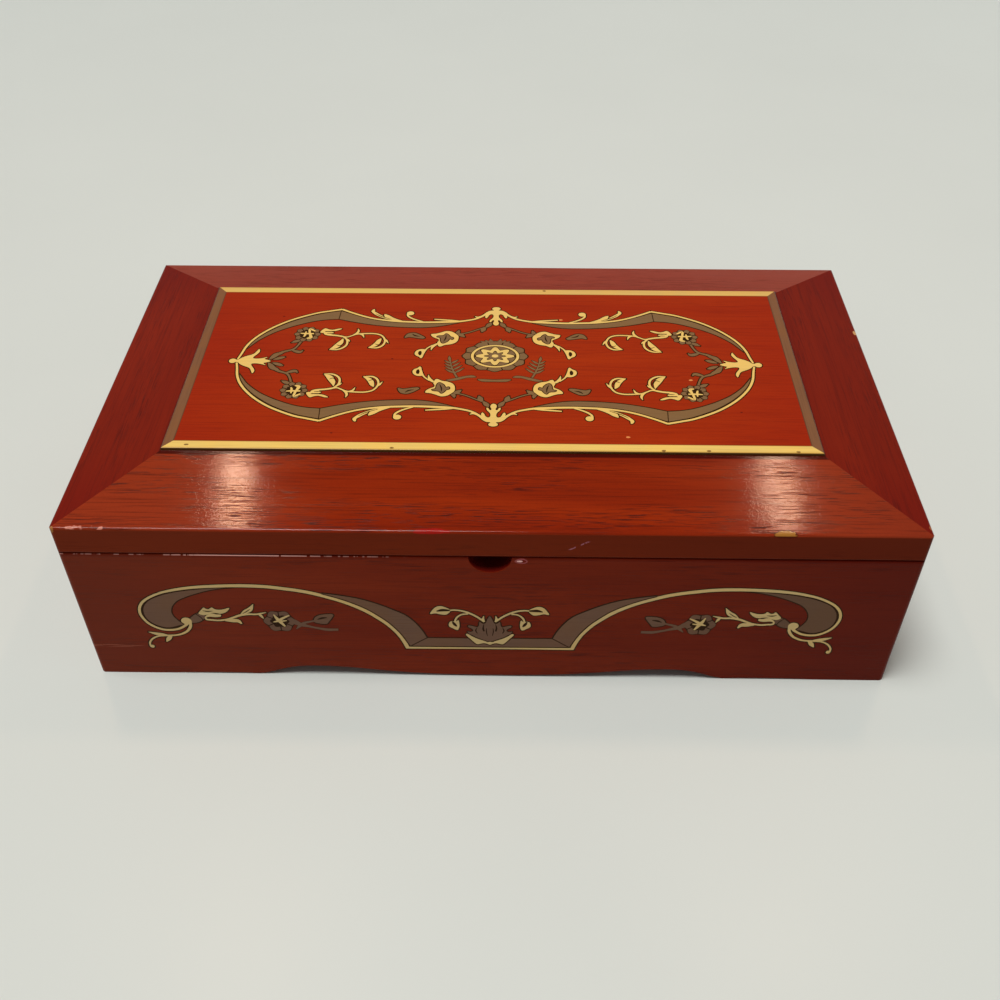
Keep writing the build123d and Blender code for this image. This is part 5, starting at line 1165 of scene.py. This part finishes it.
for node, (body, radius) in boards.items():
    name = "covered" + "".join(part.capitalize() for part in node.split("_"))
    coveredBoard(name, node, *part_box(node), body, radius)
low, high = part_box("window_ledges")
coveredBoard("coveredLeftLedge", "window_ledges", low, (low.x + ledgeWidth, high.y, high.z), "case", 0.5)
coveredBoard("coveredRightLedge", "window_ledges", (high.x - ledgeWidth, low.y, low.z), high, "case", 0.5)
print("covered boards made")


# Floor and light
backdrop = (208, 210, 203)      # what the camera sees beyond the near floor
stage = {
    "reach": 3.0, "round": 0.6, "wall": 0.75, "middle": 0.001, "near": 0.2, "rings": 14, "bend": 12,
    "around": 96, "colour": (216, 220, 213), "fadeFrom": 950, "fadeTo": 1900,
}
sky = {"colour": (226, 227, 229), "strength": 0.2}
warm = (1, 0.66, 0.44)
lamps = {
    # kind, place, aim, up, energy, colour, size (degrees for a sun, metres for a panel). The panels
    # stand where the front rail mirrors them.
    "roomLight": ("SUN", (-0.25, -0.15, 1.2), (0, 0, 0), (0, 1, 0), 2.52, (1, 1, 1), 24),
    "leftPanel": ("AREA", (-0.33, 0.2668, 0.9917), (-0.09, -0.0715, 0.0818), (0.045, 0.94, -0.338), 0.68,
                  warm, (0.031, 0.1)),
    "rightPanel": ("AREA", (0.3346, 0.2737, 0.9923), (0.1016, -0.0693, 0.0823), (-0.227, 0.929, -0.292),
                   0.58, warm, (0.035, 0.095)),
}


def makeStage(settings):
    # Floor turned about Z: flat, then a quarter round up into a low wall
    flat = settings["reach"] - settings["round"]
    around = settings["around"]
    radius = np.concatenate([[settings["middle"]], np.geomspace(settings["near"], flat, settings["rings"])])
    turn = np.linspace(0, np.pi / 2, settings["bend"])[1:]
    r = np.concatenate([radius, flat + settings["round"] * np.sin(turn), [settings["reach"]]])
    z = np.concatenate([0 * radius, settings["round"] * (1 - np.cos(turn)), [settings["wall"]]])
    angle = np.linspace(0, 2 * np.pi, around, endpoint=False)
    grid = np.stack([r[:, None] * np.cos(angle), r[:, None] * np.sin(angle), z[:, None] + 0 * angle], -1)
    mesh = bpy.data.meshes.new("studioFloor")
    faces = gridFaces(len(r), around) + [list(range(around))[::-1]]
    mesh.from_pydata(grid.reshape(-1, 3).tolist(), [], faces)
    mesh.shade_smooth()
    f = newFinish("paleFloor")
    cloud = f.noise((6, 6, 6), 3, 0.5)
    tone = f.mix(linear(settings["colour"]), linear(settings["colour"], 0.97), cloud)
    near = f.shader(Base_Color=tone, Roughness=cloud * 0.08 + 0.28, Specular_IOR_Level=0.3)
    # far off, the camera sees the backdrop's plain tone. The light stays as it is.
    x, y, z = f.axes()
    distance = (x * x + y * y).root()
    share = distance.step(settings["fadeFrom"], settings["fadeTo"]) * f.node("ShaderNodeLightPath")
    plain = f.node("ShaderNodeEmission", inputs={"Color": linear(backdrop), "Strength": 1.0})
    f.close(f.node("ShaderNodeMixShader", inputs={0: share, 1: near, 2: plain}),
            "ShaderNodeOutputMaterial")
    f.owner.cycles.emission_sampling = "NONE"
    mesh.materials.append(f.owner)
    floor = bpy.data.objects.new("studioFloor", mesh)
    bpy.context.scene.collection.objects.link(floor)


def makeLamp(name, kind, place, aim, up, energy, colour, size):
    data = bpy.data.lights.new(name, kind)
    data.energy, data.color = energy, colour
    if kind == "AREA":
        data.shape = "RECTANGLE"
        data.size, data.size_y = size
    else:
        data.angle = math.radians(size)
    away = (Vector(place) - Vector(aim)).normalized()
    side = Vector(up).cross(away).normalized()
    turn = Matrix((side, away.cross(side), away)).transposed()
    lamp = bpy.data.objects.new(name, data)
    lamp.matrix_world = Matrix.Translation(place) @ turn.to_4x4()
    bpy.context.scene.collection.objects.link(lamp)


makeStage(stage)
for name, settings in lamps.items():
    makeLamp(name, *settings)
world = bpy.data.worlds.new("studio")
bpy.context.scene.world = world
air = Finish(world)
# the camera sees the same tone above the low wall
glow = air.node("ShaderNodeBackground", inputs={"Color": linear(sky["colour"]), "Strength": sky["strength"]})
seen = air.node("ShaderNodeBackground", inputs={"Color": linear(backdrop), "Strength": 1.0})
cameraRay = air.node("ShaderNodeLightPath")
air.close(air.node("ShaderNodeMixShader", inputs={0: cameraRay, 1: glow, 2: seen}), "ShaderNodeOutputWorld")
bpy.context.scene.view_settings.view_transform = "Standard"
print("stage and lamps made")
